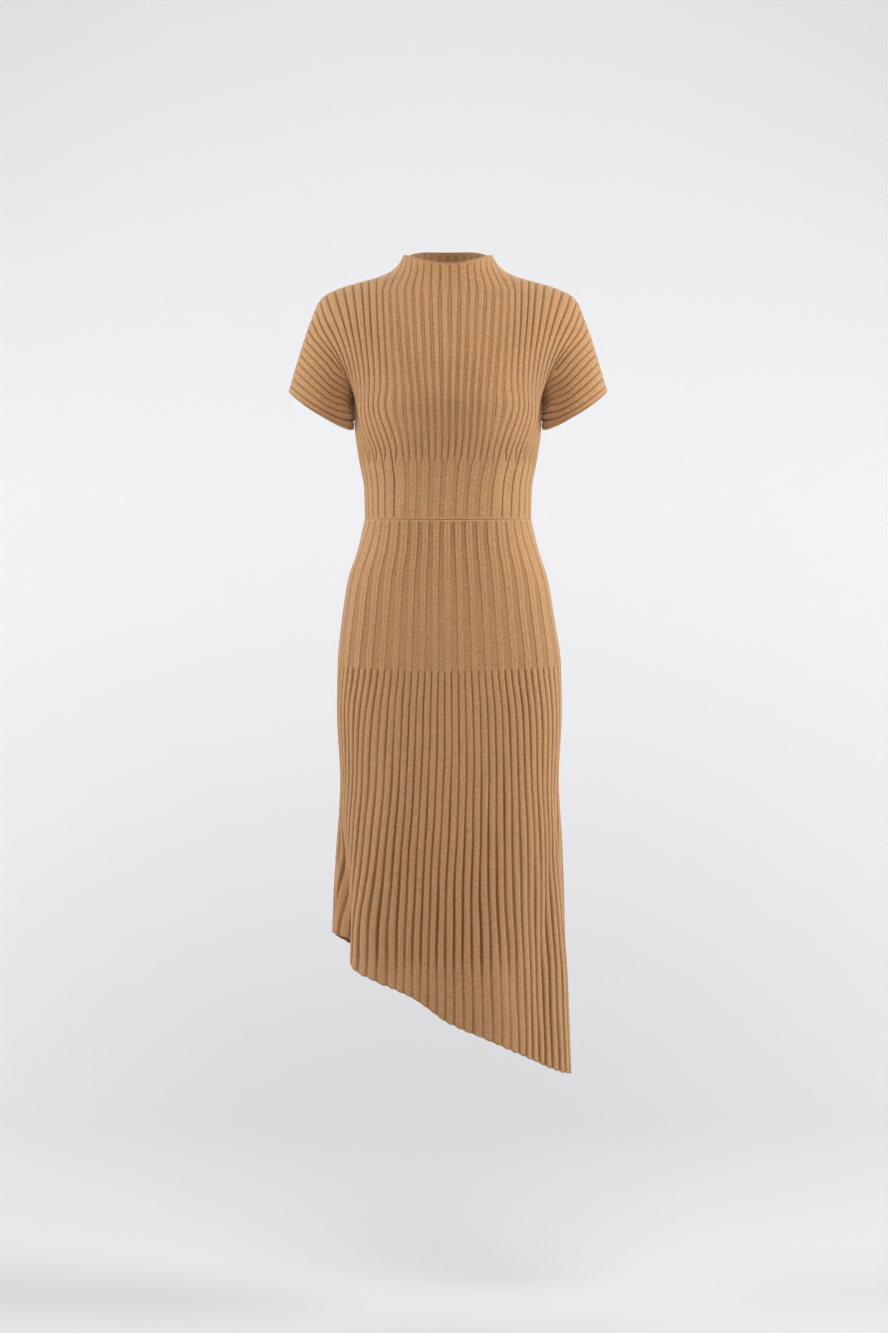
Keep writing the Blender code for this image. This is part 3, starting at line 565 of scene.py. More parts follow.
def buildBodice(side, material):
    # a body grid below the armpit level and a wider grid above it that also makes the sleeves
    facing = facings[side]
    neckRib, sideRib = bodice["ribsToNeck"], bodice["ribsToSide"]
    pitX, pitZ = bodice["armpit"]
    ribs = evenRibs(bodice["ribsToCuff"])
    onBody = np.abs(ribs) <= sideRib
    ribGrid, shareGrid = np.meshgrid(ribs, bodice["rowsAbove"])
    x, y, z = bodicePoint(np.abs(ribGrid).ravel(), shareGrid.ravel(), side)
    above = np.stack([np.sign(ribGrid.ravel()) * x, facing * offSeam(y), z], axis=-1)
    above = above.reshape(*ribGrid.shape, 3)
    lowRib, lowHeight = np.meshgrid(ribs[onBody], bodice["rowsBelow"])
    placed = lowRib if side == "front" else behindFront(lowRib, lowHeight)
    x, y = bodySection(placed.ravel(), lowHeight.ravel(), side)
    sag = waistSag(lowRib, side) * between(lowHeight, bodice["evenBelow"], waistHeight)
    below = np.stack([np.sign(lowRib.ravel()) * x, facing * offSeam(y), (lowHeight - sag).ravel()], axis=-1)
    below = below.reshape(*lowRib.shape, 3)
    halfGap = cloth["seamGap"] / 2
    above[-1, np.abs(ribs) >= neckRib, 1] = facing * halfGap
    above[0, np.abs(ribs) >= sideRib, 1] = facing * halfGap
    below[:, [0, -1], 1] = facing * halfGap
    below[0, :, 2] += halfGap

    idsAbove = np.arange(ribGrid.size).reshape(ribGrid.shape)
    idsBelow = ribGrid.size + np.arange(lowRib.size).reshape(lowRib.shape)
    idsBody = np.concatenate([idsBelow, idsAbove[:1, onBody]])
    base = np.concatenate([above.reshape(-1, 3), below.reshape(-1, 3)])
    skin = np.concatenate([gridFaces(idsAbove), gridFaces(idsBody)])
    if side == "back":
        skin = skin[:, ::-1]
    allRibs = flatten(ribGrid, lowRib)
    onSeam = np.abs(base[:, 1]) < 1.2 * halfGap  # the seam's own points stand at half the gap
    normal = panelNormals(base, skin, onSeam)
    base = base + normal * creaseDepth(side + "Bodice", allRibs, base, onSeam)

    # lengths along the ribs and across them, for the stitches and the edges
    bodyLength, aboveLength = runLength(base[idsBody], 0), runLength(base[idsAbove], 0)
    middle = bodyLength.shape[1] // 2
    levelLength = np.interp(np.abs(ribs), np.abs(ribs[onBody])[middle:], bodyLength[-1, middle:])
    upLeft = aboveLength[-1:] - aboveLength
    fromTop = flatten(upLeft, upLeft[:1, onBody] + bodyLength[-1:] - bodyLength[:-1])
    fromWaist = flatten(aboveLength + levelLength, bodyLength[:-1])
    fromSide = fromEnds(base[idsBelow])
    oneSided = np.concatenate([np.abs(base[:, :1]), base[:, 1:]], axis=1)
    fromArmpit = np.linalg.norm(oneSided - (pitX, 0, pitZ), axis=-1)

    topKeep = np.where(np.abs(ribGrid) < neckRib, roundEdge(upLeft, "edge"), roundEdge(upLeft, "seam"))
    underKeep = np.where(np.abs(ribGrid) >= sideRib, roundEdge(aboveLength, "seam"), 1.0)
    keepAbove = np.minimum.reduce([topKeep, underKeep, roundEdge(fromEnds(base[idsAbove]), "edge")])
    keepBelow = np.minimum(roundEdge(bodyLength[:-1], "waist"), roundEdge(fromSide, "seam"))

    farAway = 1.0
    neckTop = np.where(np.abs(allRibs) < bodice["neckEdgeRibs"], fromTop, farAway)
    shoulderTop = np.where(np.abs(allRibs) < bodice["shoulderEdgeRibs"], farAway, fromTop)
    seamAway = np.minimum(shoulderTop, flatten(np.full(ribGrid.shape, farAway), fromSide))
    level = flatten(pitZ + bodiceLead["yokeHeight"] * shareGrid, lowHeight)
    pattern = bodicePattern(allRibs, level, side)
    lift, tone = bodiceRelief(pattern, base[:, 2], neckTop, seamAway, fromWaist, fromArmpit)
    atArmpit = fromArmpit < bodice["armpitReach"] + cloth["seamGap"]
    normal[atArmpit] = (0.0, 0.0, -1.0)
    lines = {"Neck": idsAbove[-1, np.abs(ribs) <= neckRib], "Waist": idsBody[0]}
    for hand, way, last in (("Right", 1, -1), ("Left", -1, 0)):
        lines[hand + "Shoulder"] = idsAbove[-1, way * ribs >= neckRib]
        lines[hand + "Under"] = idsAbove[0, way * ribs >= sideRib]
        lines[hand + "Side"] = idsBody[:, last]
        lines[hand + "Cuff"] = idsAbove[:, last]
    for name, line in lines.items():
        edges[side + name] = (base[line], normal[line])
    mapping = np.stack([pattern, fromWaist / cloth["ribPitch"]], axis=1)
    return shellFromBase(side + "Bodice", base, normal, skin, (lift, tone, flatten(keepAbove, keepBelow)),
                         mapping, material, bodice["armpitThick"] * atArmpit)


# form of the skirt, in metres and ribs, left and right as seen from the front; flutes die out over seamFade
# ribs before a side seam
skirt = {
    "ribsToSide": 20, "sagEnd": -0.42, "hipLine": -0.5480, "hipSag": 0.0090,
    "seamFade": 1.5, "seamLift": 0.6, "mapStart": 0.171,
    "form": table("height left right front back fullness crowding",
                  (waistHeight, 0.1198, 0.1198, 0.0860, 0.0760, 2.30, 0.090),
                  (-0.3800, 0.1302, 0.1304, 0.0890, 0.0930, 2.30, 0.115),
                  (-0.4230, 0.1443, 0.1440, 0.0920, 0.1120, 2.30, 0.115),
                  (-0.4820, 0.1534, 0.1540, 0.0950, 0.1270, 2.35, 0.125),
                  (-0.5475, 0.1596, 0.1634, 0.0970, 0.1300, 2.40, 0.120),
                  (-0.6130, 0.1606, 0.1646, 0.0990, 0.1260, 2.40, 0.060),
                  (-0.7154, 0.1558, 0.1602, 0.1040, 0.1180, 2.40, 0.010),
                  (-0.8030, 0.1600, 0.1650, 0.1100, 0.1170, 2.40, 0.000),
                  (-0.9417, 0.1640, 0.1690, 0.1180, 0.1200, 2.30, 0.000),
                  (-1.1430, 0.1720, 0.1764, 0.1240, 0.1240, 2.30, 0.000)),
    "hem": table("rib front back",
                 (-20.0, -0.9370, -0.9370), (-17.0, -0.9510, -0.9400), (-15.5, -0.9590, -0.9490),
                 (-14.5, -0.9670, -0.9540), (-13.0, -0.9810, -0.9640), (-10.0, -0.9945, -0.9830),
                 (-4.0, -1.0215, -1.0170), (0.0, -1.0535, -1.0400), (5.0, -1.0800, -1.0700),
                 (11.5, -1.1150, -1.1050), (16.0, -1.1345, -1.1250), (20.0, -1.1410, -1.1410)),
    # soft flutes that grow towards the hem
    "frontFlutes": table("rib halfWidth depth start full",
                         (-17.0, 2.6, -0.0280, -0.740, -0.930), (-7.0, 3.5, -0.0050, -0.740, -0.980),
                         (5.0, 3.5, 0.0040, -0.760, -1.020), (12.0, 3.0, -0.0060, -0.760, -1.020),
                         (16.5, 2.5, 0.0050, -0.760, -1.020)),
    "backFlutes": table("rib halfWidth depth start full",
                        (-16.0, 3.5, 0.0090, -0.700, -0.930), (-9.0, 3.5, -0.0090, -0.700, -0.960),
                        (-2.0, 3.5, 0.0070, -0.740, -0.980), (6.0, 4.0, -0.0080, -0.700, -1.000),
                        (13.0, 3.0, 0.0070, -0.740, -1.020)),
    # rows of the grid: metres below the waist, shares of the way to the hip line, metres above that line,
    # shares of the way to the last rows, metres above the hem
    "rowsWaist": (0, 0.0003, 0.0008, 0.0016, 0.0026, 0.0040), "rowsToHip": np.linspace(0.004, 0.95, 26),
    "rowsHip": (0.0042, 0.0026, 0.0014, 0.0005, -0.0004, -0.0013, -0.0024, -0.0038),
    "rowsToHem": np.linspace(0.014, 1, 74)[:-1], "lastRows": 0.0045,
    "rowsHem": (0.0030, 0.0016, 0.0008, 0.0003, 0),
}

# how its ribs run: bells of lead at a rib and height, and leans that grow towards the hem's short side
skirtLead = {
    "gathers": table("rib wide height tall shift",
                     (15.6, 2.6, waistHeight, 0.036, 1.05), (-15.6, 2.6, waistHeight, 0.036, -1.05),
                     (0.0, 7.5, waistHeight, 0.130, 0.20), (15.4, 1.6, -0.5450, 0.030, 0.20),
                     (-12.0, 2.9, -0.6800, 0.100, 0.55), (-12.5, 3.0, -0.8000, 0.070, 0.40),
                     (-16.0, 2.5, -0.6000, 0.040, 0.30), (15.6, 2.4, -0.8150, 0.085, 0.85),
                     (6.5, 4.5, -0.8400, 0.090, 0.34)),
    "leans": table("whole none start full shift",
                   (-15.0, -5.0, -0.780, -0.940, 2.0), (-2.0, 10.0, -0.640, -0.960, 0.9),
                   (19.0, 9.0, -0.890, -1.000, -0.3)),
    "shares": {"front": 1.0, "back": 0.7},
}


def skirtPattern(rib, height, side):
    # signed number of the knitted rib of the skirt: grid number + its gathers and leans
    lead = np.zeros(np.shape(rib))
    for centre, wide, level, tall, shift in zip(*skirtLead["gathers"].values()):
        lead += shift * hump((rib - centre) / wide) * hump((height - level) / tall)
    for whole, none, start, full, shift in zip(*skirtLead["leans"].values()):
        lead += shift * between(rib, none, whole) * between(height, start, full)
    return rib + lead * skirtLead["shares"][side]


# relief of the skirt: widths in ribs, heights in metres; the hip's pairs are at the waist, then lower, its
# depth and tone only in the middle
skirtRibs = {
    "hipHalfCentre": (0.46, 0.62), "hipHalfSide": (0.25, 0.56), "widenedBy": 0.170, "centreRibs": (6.5, 9.0),
    "valleyFloor": 0.50, "innerEdge": 0.25, "dip": 0.30, "dipWide": 0.14, "soft": 0.080,
    "hipDepth": (0.72, 0.38), "hipTone": (0.76, 0.42), "middleRibs": (14, 8),
    "wobble": 0.8, "wobbleOver": 0.35, "wobblePace": 0.9, "uneven": 0.20,
    "strength": (0.80, 0.20), "strengthPace": (7.0, 0.5), "grooveHalf": 0.120, "wider": 0.35,
    "crown": 0.12, "crownHalf": 0.42, "waistPlain": (0.0020, 0.0034), "lineHalf": 0.0016,
    "knotTall": 0.0022, "knotWide": 0.15, "depth": 0.80, "sideDepth": 0.35, "asideRibs": (6, 15),
    # groove tones and darkHeights: grooves painted darker at the sides and lower down, painted shade of the
    # deeper relief there
    "tone": (0.74, 1.0), "paintedStitchShade": 0.07, "darkHeights": (-0.62, -0.92),
    "calm": 0.80, "calmHeights": (-0.955, -1.000), "calmRibs": (10, 7), "calmCut": 0.45,
    "deeper": 0.30, "deeperOver": 0.4, "scallop": 0.0006, "scallopPace": 3.0,
}


def skirtRelief(pattern, z, fromWaist, hipLine):
    # lift and tone of the skirt: flat valleys on odd ribs above the hip line, a groove each side of them
    # below it
    own = skirtRibs
    stray = own["wobble"] * (1 + ease((hipLine - z) / own["wobbleOver"]))
    rib = pattern + cloth["wobble"] * stray * drift(pattern, z, own["wobblePace"])
    reach = np.abs(rib)
    out = (rib - (2 * np.floor(rib / 2) + 1)) * np.sign(rib)
    widened = ease((waistHeight - z) / own["widenedBy"])
    halfCentre, halfSide = (blend(*own[name], widened) for name in ("hipHalfCentre", "hipHalfSide"))
    hipCut = flatValley(out, blend(halfCentre, halfSide, between(reach, *own["centreRibs"])), own)
    inMiddle = widened * between(reach, *own["middleRibs"])
    hipDepth, hipTone = (blend(*own[name], inMiddle) for name in ("hipDepth", "hipTone"))

    uneven = 1 + own["uneven"] * drift(np.round(rib - 0.5) * cloth["ownPace"], z)
    away = np.abs(np.abs(out) - 0.5)
    usual, extra = own["strength"]
    ribPace, heightPace = own["strengthPace"]
    strong = usual + extra * drift(np.floor(rib) * ribPace, heightPace * z)
    aside = between(reach, *own["asideRibs"])
    calm = own["calm"] * between(z, *own["calmHeights"]) * between(rib, *own["calmRibs"])
    # bold grooves: wider, and painted darker by the tone below, at the sides and lower down
    bold = np.maximum(aside, between(z, *own["darkHeights"])) * (1 - calm)
    lowCut = valley(away, own["grooveHalf"] * uneven * (1 + own["wider"] * bold), own["soft"])
    lowCut = lowCut * strong * (1 - own["calmCut"] * calm)
    aboveLine = between(z, hipLine - own["lineHalf"], hipLine + own["lineHalf"])
    knot = hump((z - hipLine) / own["knotTall"]) * hump(away / own["knotWide"])
    cut = np.maximum(blend(lowCut, hipCut, aboveLine), knot)
    cut = np.clip(cut * between(fromWaist, *own["waistPlain"]), 0, 1)
    crown = own["crown"] * (1 - ease(away / own["crownHalf"])) * (1 - aboveLine)
    deep = blend(own["depth"] + own["sideDepth"] * aside, hipDepth, aboveLine)
    # painted shade between the close stitches, below the hip line
    close = own["paintedStitchShade"] * (1 - aboveLine)
    # the tone is the share of the groove colour, partly purl yarn, partly painted shade: darker where bold
    # and in the hip valleys off the middle
    tone = cut * blend(blend(*own["tone"], bold), hipTone, aboveLine) * (1 - close) + close
    return np.clip((1 - cut * deep) * (1 - crown), 0, 1), tone


def buildSkirt(side, material):
    # rows from the waist to the hip line, then to the slanted hem
    facing = facings[side]
    last = skirt["ribsToSide"]
    ribs = evenRibs(last)
    hip = skirt["hipLine"] - skirt["hipSag"] * (1 - (ribs / last) ** 2)
    hemLine = smoothThrough(skirt["hem"]["rib"], skirt["hem"][side], ribs)
    waves = np.cos(2 * np.pi * skirtPattern(ribs, hemLine, side))
    waves = waves + drift(ribs * skirtRibs["scallopPace"], hemLine)
    hemLine = hemLine - skirtRibs["scallop"] * waves
    waistRows, toHip, hipRows, toHem, hemRows = (
        np.array(skirt["rows" + name])[:, None] for name in ("Waist", "ToHip", "Hip", "ToHem", "Hem"))
    heights = np.concatenate([
        waistHeight - waistRows + 0 * hip, blend(waistHeight - waistRows[-1], hip + hipRows[0], toHip),
        hip + hipRows, blend(hip + hipRows[-1], hemLine + skirt["lastRows"], toHem), hemLine + hemRows])
    rib, at = np.broadcast_to(ribs, heights.shape).ravel(), heights.ravel()
    form = {name: smoothThrough(skirt["form"]["height"], skirt["form"][name], at)
            for name in ("left", "right", side, "fullness", "crowding")}
    halfWidth = np.where(rib < 0, form["left"], form["right"])
    share = np.abs(rib) / last
    x, y = ovalPoint(halfWidth, form[side], form["fullness"], share - form["crowding"] * (share - share ** 4))
    sag = waistSag(rib, side) * between(at, skirt["sagEnd"], waistHeight)
    base = np.stack([np.sign(rib) * x, facing * y, at - sag], axis=-1)
    onSeam = np.abs(rib) == last
    base[onSeam, 1] = facing * cloth["seamGap"] / 2
    ids = np.arange(len(base)).reshape(heights.shape)
    base[ids[0], 2] -= cloth["seamGap"] / 2
    skin = gridFaces(ids[::-1])
    if side == "back":
        skin = skin[:, ::-1]

    push = np.zeros(len(base))
    for centre, half, size, begin, full in zip(*skirt[side + "Flutes"].values()):
        push += size * hump((rib - centre) / half) * between(at, begin, full)
    push *= ease((last - np.abs(rib)) / skirt["seamFade"])
    base = base + panelNormals(base, skin, onSeam) * push[:, None] * (1, 1, 0)
    base = base + panelNormals(base, skin, onSeam) * creaseDepth(side + "Skirt", rib, base, onSeam)
    normal = panelNormals(base, skin, onSeam)
    normal[ids[0], 2] = 0.0
    normal = unit(normal)
    for name, line in (("Hem", ids[-1]), ("LeftSkirtSide", ids[:, 0]), ("RightSkirtSide", ids[:, -1])):
        edges[side + name] = (base[line], normal[line])

    lengths = runLength(base[ids], 0)
    keep = np.minimum.reduce([roundEdge(lengths, "waist"), roundEdge(fromEnds(base[ids]), "seam"),
                              roundEdge(lengths[-1:] - lengths, "edge")])
    pattern = skirtPattern(rib, at, side)
    lift, tone = skirtRelief(pattern, at, lengths.ravel(), np.broadcast_to(hip, heights.shape).ravel())
    growth = 1 + skirtRibs["deeper"] * ease((skirt["hipLine"] - at) / skirtRibs["deeperOver"])
    lift = 1 - (1 - lift) * growth
    lift = np.where(onSeam, np.minimum(lift, skirt["seamLift"]), lift)
    mapping = np.stack([pattern, (skirt["mapStart"] + lengths.ravel()) / cloth["ribPitch"]], axis=1)
    return shellFromBase(side + "Skirt", base, normal, skin, (lift, tone, keep.ravel()), mapping, material)


# finishes
class Wire:
    # a socket with arithmetic: each operator adds a Math node
    def __init__(self, tree, socket):
        self.tree, self.socket = tree, socket

    def node(self, kind, settings=None, sockets=None):
        # any node: its settings first, then the values or links of its sockets
        made = self.tree.nodes.new(kind)
        for name, value in (settings or {}).items():
            setattr(made, name, value)
        for name, value in (sockets or {}).items():
            if isinstance(value, Wire):
                self.tree.links.new(value.socket, made.inputs[name])
            else:
                made.inputs[name].default_value = value
        return made

    def out(self, made, name=0):
        return Wire(self.tree, made.outputs[name])

    def math(self, operation, *values):
        return self.out(self.node("ShaderNodeMath", {"operation": operation}, dict(enumerate(values))))

    def __add__(self, other):
        return self.math("ADD", self, other)

    def __sub__(self, other):
        return self.math("SUBTRACT", self, other)

    def __rsub__(self, other):
        return self.math("SUBTRACT", other, self)

    def __mul__(self, other):
        return self.math("MULTIPLY", self, other)

    __radd__, __rmul__ = __add__, __mul__

    def __abs__(self):
        return self.math("ABSOLUTE", self)

    def fraction(self):
        return self.math("FRACT", self)

    def cosine(self):
        return self.math("COSINE", self)

    def atLeast(self, floor):
        return self.math("MAXIMUM", self, floor)

    def atMost(self, ceiling):
        return self.math("MINIMUM", self, ceiling)

    def colours(self, way, share, first, second):
        # two colours mixed in one of the Mix node's ways
        made = self.node("ShaderNodeMix", {"data_type": "RGBA", "blend_type": way},
                         {0: share, 6: first, 7: second})
        return self.out(made, 2)

    def mix(self, first, second):
        # this value shares out two colours
        return self.colours("MIX", self, first, second)

    def ownPlace(self):
        # where the shaded point is on its piece
        return self.out(self.node("ShaderNodeTexCoord"), "Object")

    def noise(self, scale, detail):
        return self.out(self.node("ShaderNodeTexNoise", None,
                                  {"Vector": self.ownPlace(), "Scale": scale, "Detail": detail}))

    def attribute(self, name):
        return self.out(self.node("ShaderNodeAttribute", {"attribute_name": name}), "Fac")

    def surface(self, sockets):
        # the material's shader on its output
        shader = self.node("ShaderNodeBsdfPrincipled", None, sockets)
        self.node("ShaderNodeOutputMaterial", None, {0: self.out(shader)})


def startMaterial(name):
    # an empty material, and a wire to build its nodes with
    made = bpy.data.materials.new(name)
    made.use_nodes = True
    made.node_tree.nodes.clear()
    return made, Wire(made.node_tree, None)


# what all the yarn has in common
wool = {"roughness": 0.92, "specular": 0.2, "sheen": 0.68, "sheenRoughness": 0.5,
        "fuzz": (1.0, 0.79, 0.56, 1)}


def woolSurface(wire, colour, shade, height, bump):
    # the colour times a grey shade, with a bump from the height and a sheen of fuzz
    grey = wire.out(wire.node("ShaderNodeCombineColor", None, {0: shade, 1: shade, 2: shade}))
    strength, deep = bump
    bumped = wire.node("ShaderNodeBump", None, {"Strength": strength, "Distance": deep, "Height": height})
    wire.surface({"Base Color": wire.colours("MULTIPLY", 1.0, colour, grey), "Roughness": wool["roughness"],
                  "Normal": wire.out(bumped), "Specular IOR Level": wool["specular"],
                  "Sheen Weight": wool["sheen"], "Sheen Roughness": wool["sheenRoughness"],
                  "Sheen Tint": wool["fuzz"]})


# the knit: colours are linear, stitch counts are a rib's, noises are scale and detail
knit = {
    # the groove colour is partly the purl yarn's own darker look and partly painted shade in the grooves
    "warm": (0.582, 0.302, 0.132, 1), "cool": (0.546, 0.299, 0.135, 1), "groove": (0.200, 0.070, 0.014, 1),
    "inside": (0.410, 0.222, 0.100, 1), "wales": 5.0, "courses": 6.8,
    "strandSlant": 6.2, "purlWave": 0.8, "purlInGroove": 0.8,
    "fibre": (1400, 2), "fleck": (380, 3), "cloud": (26, 3), "cloudSpread": 2.4, "cloudLess": 0.7,
    "fibreShade": 0.36, "fleckShade": 0.94, "stitchShade": 0.20, "leastShade": 0.26,
    "stitchHeight": 0.8, "fibreHeight": 0.45, "bump": (0.55, 0.0006),
}


def knitMaterial():
    # V stitches from the map: each wale has two slanted legs, each course closes them; purl rows that wave
    # from wale to wale in the grooves and inside; fibres, flecks and clouds of tint from noise
    made, wire = startMaterial("ribbedKnit")
    turn = 2 * np.pi
    uv = wire.out(wire.node("ShaderNodeUVMap", {"uv_map": "knit"}))
    place = wire.node("ShaderNodeSeparateXYZ", None, {0: uv})
    wale = wire.out(place, 0) * knit["wales"]
    course = wire.out(place, 1) * knit["courses"] * turn
    groove, inside = wire.attribute("groove"), wire.attribute("inside")
    spread = abs(wale.fraction() - 0.5)
    offLeg = spread * 4 - 1
    strand = (course + spread * knit["strandSlant"]).cosine() * 0.5 + 0.5
    knitStitch = (1 - offLeg * offLeg).atLeast(0) * (strand * 0.5 + 0.5)
    purlStitch = (course + (wale * turn).cosine() * knit["purlWave"]).cosine() * 0.5 + 0.5
    stitch = blend(knitStitch, purlStitch, (groove * knit["purlInGroove"] + inside).atMost(1))
    fibre, fleck, cloud = (wire.noise(*knit[name]) for name in ("fibre", "fleck", "cloud"))
    tint = (cloud * knit["cloudSpread"] - knit["cloudLess"]).atLeast(0).atMost(1)
    yarn = inside.mix(tint.mix(knit["cool"], knit["warm"]), knit["inside"])
    shade = (fibre * knit["fibreShade"] + fleck * knit["fleckShade"] + stitch * knit["stitchShade"]
             + knit["leastShade"])
    height = stitch * knit["stitchHeight"] + fibre * knit["fibreHeight"]
    # the groove mark draws the colour towards the groove colour: purl yarn, and painted shade in the grooves
    woolSurface(wire, groove.mix(yarn, knit["groove"]), shade, height, knit["bump"])
    return made


ribbedKnit = knitMaterial()
panels = {
    "bodice_front": buildBodice("front", ribbedKnit),
    "bodice_back": buildBodice("back", ribbedKnit),
    "skirt_front": buildSkirt("front", ribbedKnit),
    "skirt_back": buildSkirt("back", ribbedKnit),
}
for node, piece in panels.items():
    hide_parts(node)
    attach(piece, "root")
    print("panel", piece.name, len(piece.data.polygons) * 2, "triangles")


def evenPath(points, normals, step, closed=False):
    # a line resampled at an even step of its own length, its normals with it
    if closed:
        points, normals = np.concatenate([points, points[:1]]), np.concatenate([normals, normals[:1]])
    length = np.concatenate([[0], np.cumsum(np.linalg.norm(np.diff(points, axis=0), axis=1))])
    count = max(int(round(length[-1] / step)), 4)
    at = np.linspace(0, length[-1], count + 1)
    if closed:
        at = at[:-1]
    place, facing = (np.stack([np.interp(at, length, part) for part in values.T], axis=1)
                     for values in (points, normals))
    ahead, behind = np.roll(place, -1, axis=0), np.roll(place, 1, axis=0)
    if not closed:
        ahead[-1], behind[0] = place[-1], place[0]
    tangent = unit(ahead - behind)
    facing = unit(facing)
    facing = unit(facing - tangent * (facing * tangent).sum(axis=1, keepdims=True))
    return place, tangent, facing, at


def ringFaces(rows, around, closed):
    # faces of a tube whose cross-sections are rows of points, joined end to end if it is closed
    ids = np.arange(rows * around).reshape(rows, around)
    ids = np.concatenate([ids, ids[:, :1]], axis=1)
    if closed:
        ids = np.concatenate([ids, ids[:1]])
    return gridFaces(ids)


def bandAlong(path, size, closed):
    # an oval carried along a path: half wide along the surface, thick across it, swelling by a cosine at
    # each stitch; open ends are drawn to a point
    place, tangent, facing, at = path
    turn = np.arange(size["corners"]) * 2 * np.pi / size["corners"]
    swell = 1 + size["ripple"] * np.cos(2 * np.pi * at / size["stitch"])
    if not closed:
        swell[[0, -1]] = size["tip"]
    across = np.cross(tangent, facing)
    centre = place - facing * size["sink"]
    points = (centre[:, None] + across[:, None] * (size["half"] * swell[:, None] * np.cos(turn))[..., None]
              + facing[:, None] * (size["thick"] * swell[:, None] * np.sin(turn))[..., None])
    return points.reshape(-1, 3), ringFaces(len(place), size["corners"], closed)[:, ::-1]


def chainAlong(path, size):
    # links of yarn along an edge: each a small oval ring, tilted, lying half over the one before
    place, tangent, facing, _ = path
    down = np.cross(tangent, facing)
    down = down * np.where(down[:, 2:] > 0, -1.0, 1.0)
    around = np.arange(size["around"])[:, None] * 2 * np.pi / size["around"]
    turn = np.arange(size["corners"])[None, :] * 2 * np.pi / size["corners"]
    long = (size["long"] + size["yarn"] * np.cos(turn)) * np.cos(around)
    wide = (size["wide"] + size["yarn"] * np.cos(turn)) * np.sin(around)
    thick = size["yarn"] * np.sin(turn) + 0 * around
    cos, sin = np.cos(np.radians(size["tilt"])), np.sin(np.radians(size["tilt"]))
    link = np.stack([long * cos - thick * sin, long * sin + thick * cos, wide], axis=-1)
    axes = np.stack([tangent, down, facing], axis=1)
    points = (place + down * size["drop"])[:, None] + np.einsum("kj,ijd->ikd", link.reshape(-1, 3), axes)
    faces = ringFaces(size["around"], size["corners"], True)
    firsts = np.arange(len(place)) * long.size
    return points.reshape(-1, 3), (faces[None] + firsts[:, None, None]).reshape(-1, 4)


def joinParts(parts):
    # several point and face arrays as one
    counts = np.cumsum([0] + [len(points) for points, _ in parts])
    return (np.concatenate([points for points, _ in parts]),
            np.concatenate([faces + count for (_, faces), count in zip(parts, counts)]))


def outwardFaces(points, faces, per):
    # turns the faces round where a closed part of the given number of points has a negative volume
    part = faces[:, 0] // per
    middle = points.reshape(-1, per, 3).mean(axis=1)[part]
    volume = ((points[faces].mean(axis=1) - middle) * faceCrosses(points, faces)).sum(axis=1)
    return np.where((np.bincount(part, volume)[part] < 0)[:, None], faces[:, ::-1], faces)


def roundLine(name):
    # the front's line and the back's as one closed line
    (front, frontOut), (back, backOut) = edges["front" + name], edges["back" + name]
    return np.concatenate([front, back[::-1]]), np.concatenate([frontOut, backOut[::-1]])


# the twisted yarn of the trims: noises are scale and detail
twist = {"fibre": (1600, 2), "fleck": (500, 2), "fibreShade": 0.4, "fleckShade": 0.5, "leastShade": 0.55,
         "bump": (0.5, 0.0004)}


def yarnMaterial(name, colour):
    # plain twisted yarn: fine noise in tone and height
    made, wire = startMaterial(name)
    fibre, fleck = wire.noise(*twist["fibre"]), wire.noise(*twist["fleck"])
    shade = fibre * twist["fibreShade"] + fleck * twist["fleckShade"] + twist["leastShade"]
    woolSurface(wire, colour, shade, fibre, twist["bump"])
    return made


# the linked seams' ridges inside: metres, sunk below the panels' base surface
ridge = {"half": 0.0019, "thick": 0.0009, "sink": 0.0021, "corners": 8, "step": 0.006, "stitch": 0.0024,
         "ripple": 0.0, "tip": 0.05, "colour": (0.400, 0.225, 0.108, 1)}


def seamRidges():
    # a ridge inside each seam: the waist's all the way round, the others from end to end
    parts = [bandAlong(evenPath(*roundLine("Waist"), ridge["step"], True), ridge, True)]
    for seam in ("Shoulder", "Under", "Side", "SkirtSide"):
        for hand in ("Right", "Left"):
            points, out = edges["front" + hand + seam]
            parts.append(bandAlong(evenPath(points * (1, 0, 1), out, ridge["step"]), ridge, False))
    return makePiece("seamRidges", *joinParts(parts), yarnMaterial("linkingYarn", ridge["colour"]))


# the narrow bound edge on top of the collar; its darker colour is painted shade along the rim
binding = {"half": 0.0013, "thick": 0.0021, "sink": 0.0, "corners": 10, "step": 0.0012, "stitch": 0.0024,
           "ripple": 0.14, "colour": (0.400, 0.232, 0.120, 1)}


def neckBinding():
    # an oval band all round the neck, swelling a little at each stitch
    points, faces = bandAlong(evenPath(*roundLine("Neck"), binding["step"], True), binding, True)
    return makePiece("neckBinding", points, faces, yarnMaterial("bindingYarn", binding["colour"]))


# the cast-off chains of hem and cuffs
chain = {"pitch": 0.0027, "long": 0.0019, "wide": 0.0011, "yarn": 0.00042, "tilt": 24, "around": 10,
         "corners": 5, "drop": 0.0002, "colour": (0.520, 0.290, 0.135, 1)}


def edgeChain(name, *lines):
    # a chain along each of the closed edges
    points, faces = joinParts([chainAlong(evenPath(*roundLine(line), chain["pitch"], True), chain)
                               for line in lines])
    faces = outwardFaces(points, faces, chain["around"] * chain["corners"])
    return makePiece(name, points, faces, yarnMaterial(name + "Yarn", chain["colour"]))


trimPieces = {"ridges": seamRidges(), "binding": neckBinding(), "hemChain": edgeChain("hemChain", "Hem"),
              "cuffChain": edgeChain("cuffChain", "RightCuff", "LeftCuff")}
for piece in trimPieces.values():
    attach(piece, "root")
    print("trim", piece.name, len(piece.data.polygons) * 2, "triangles")

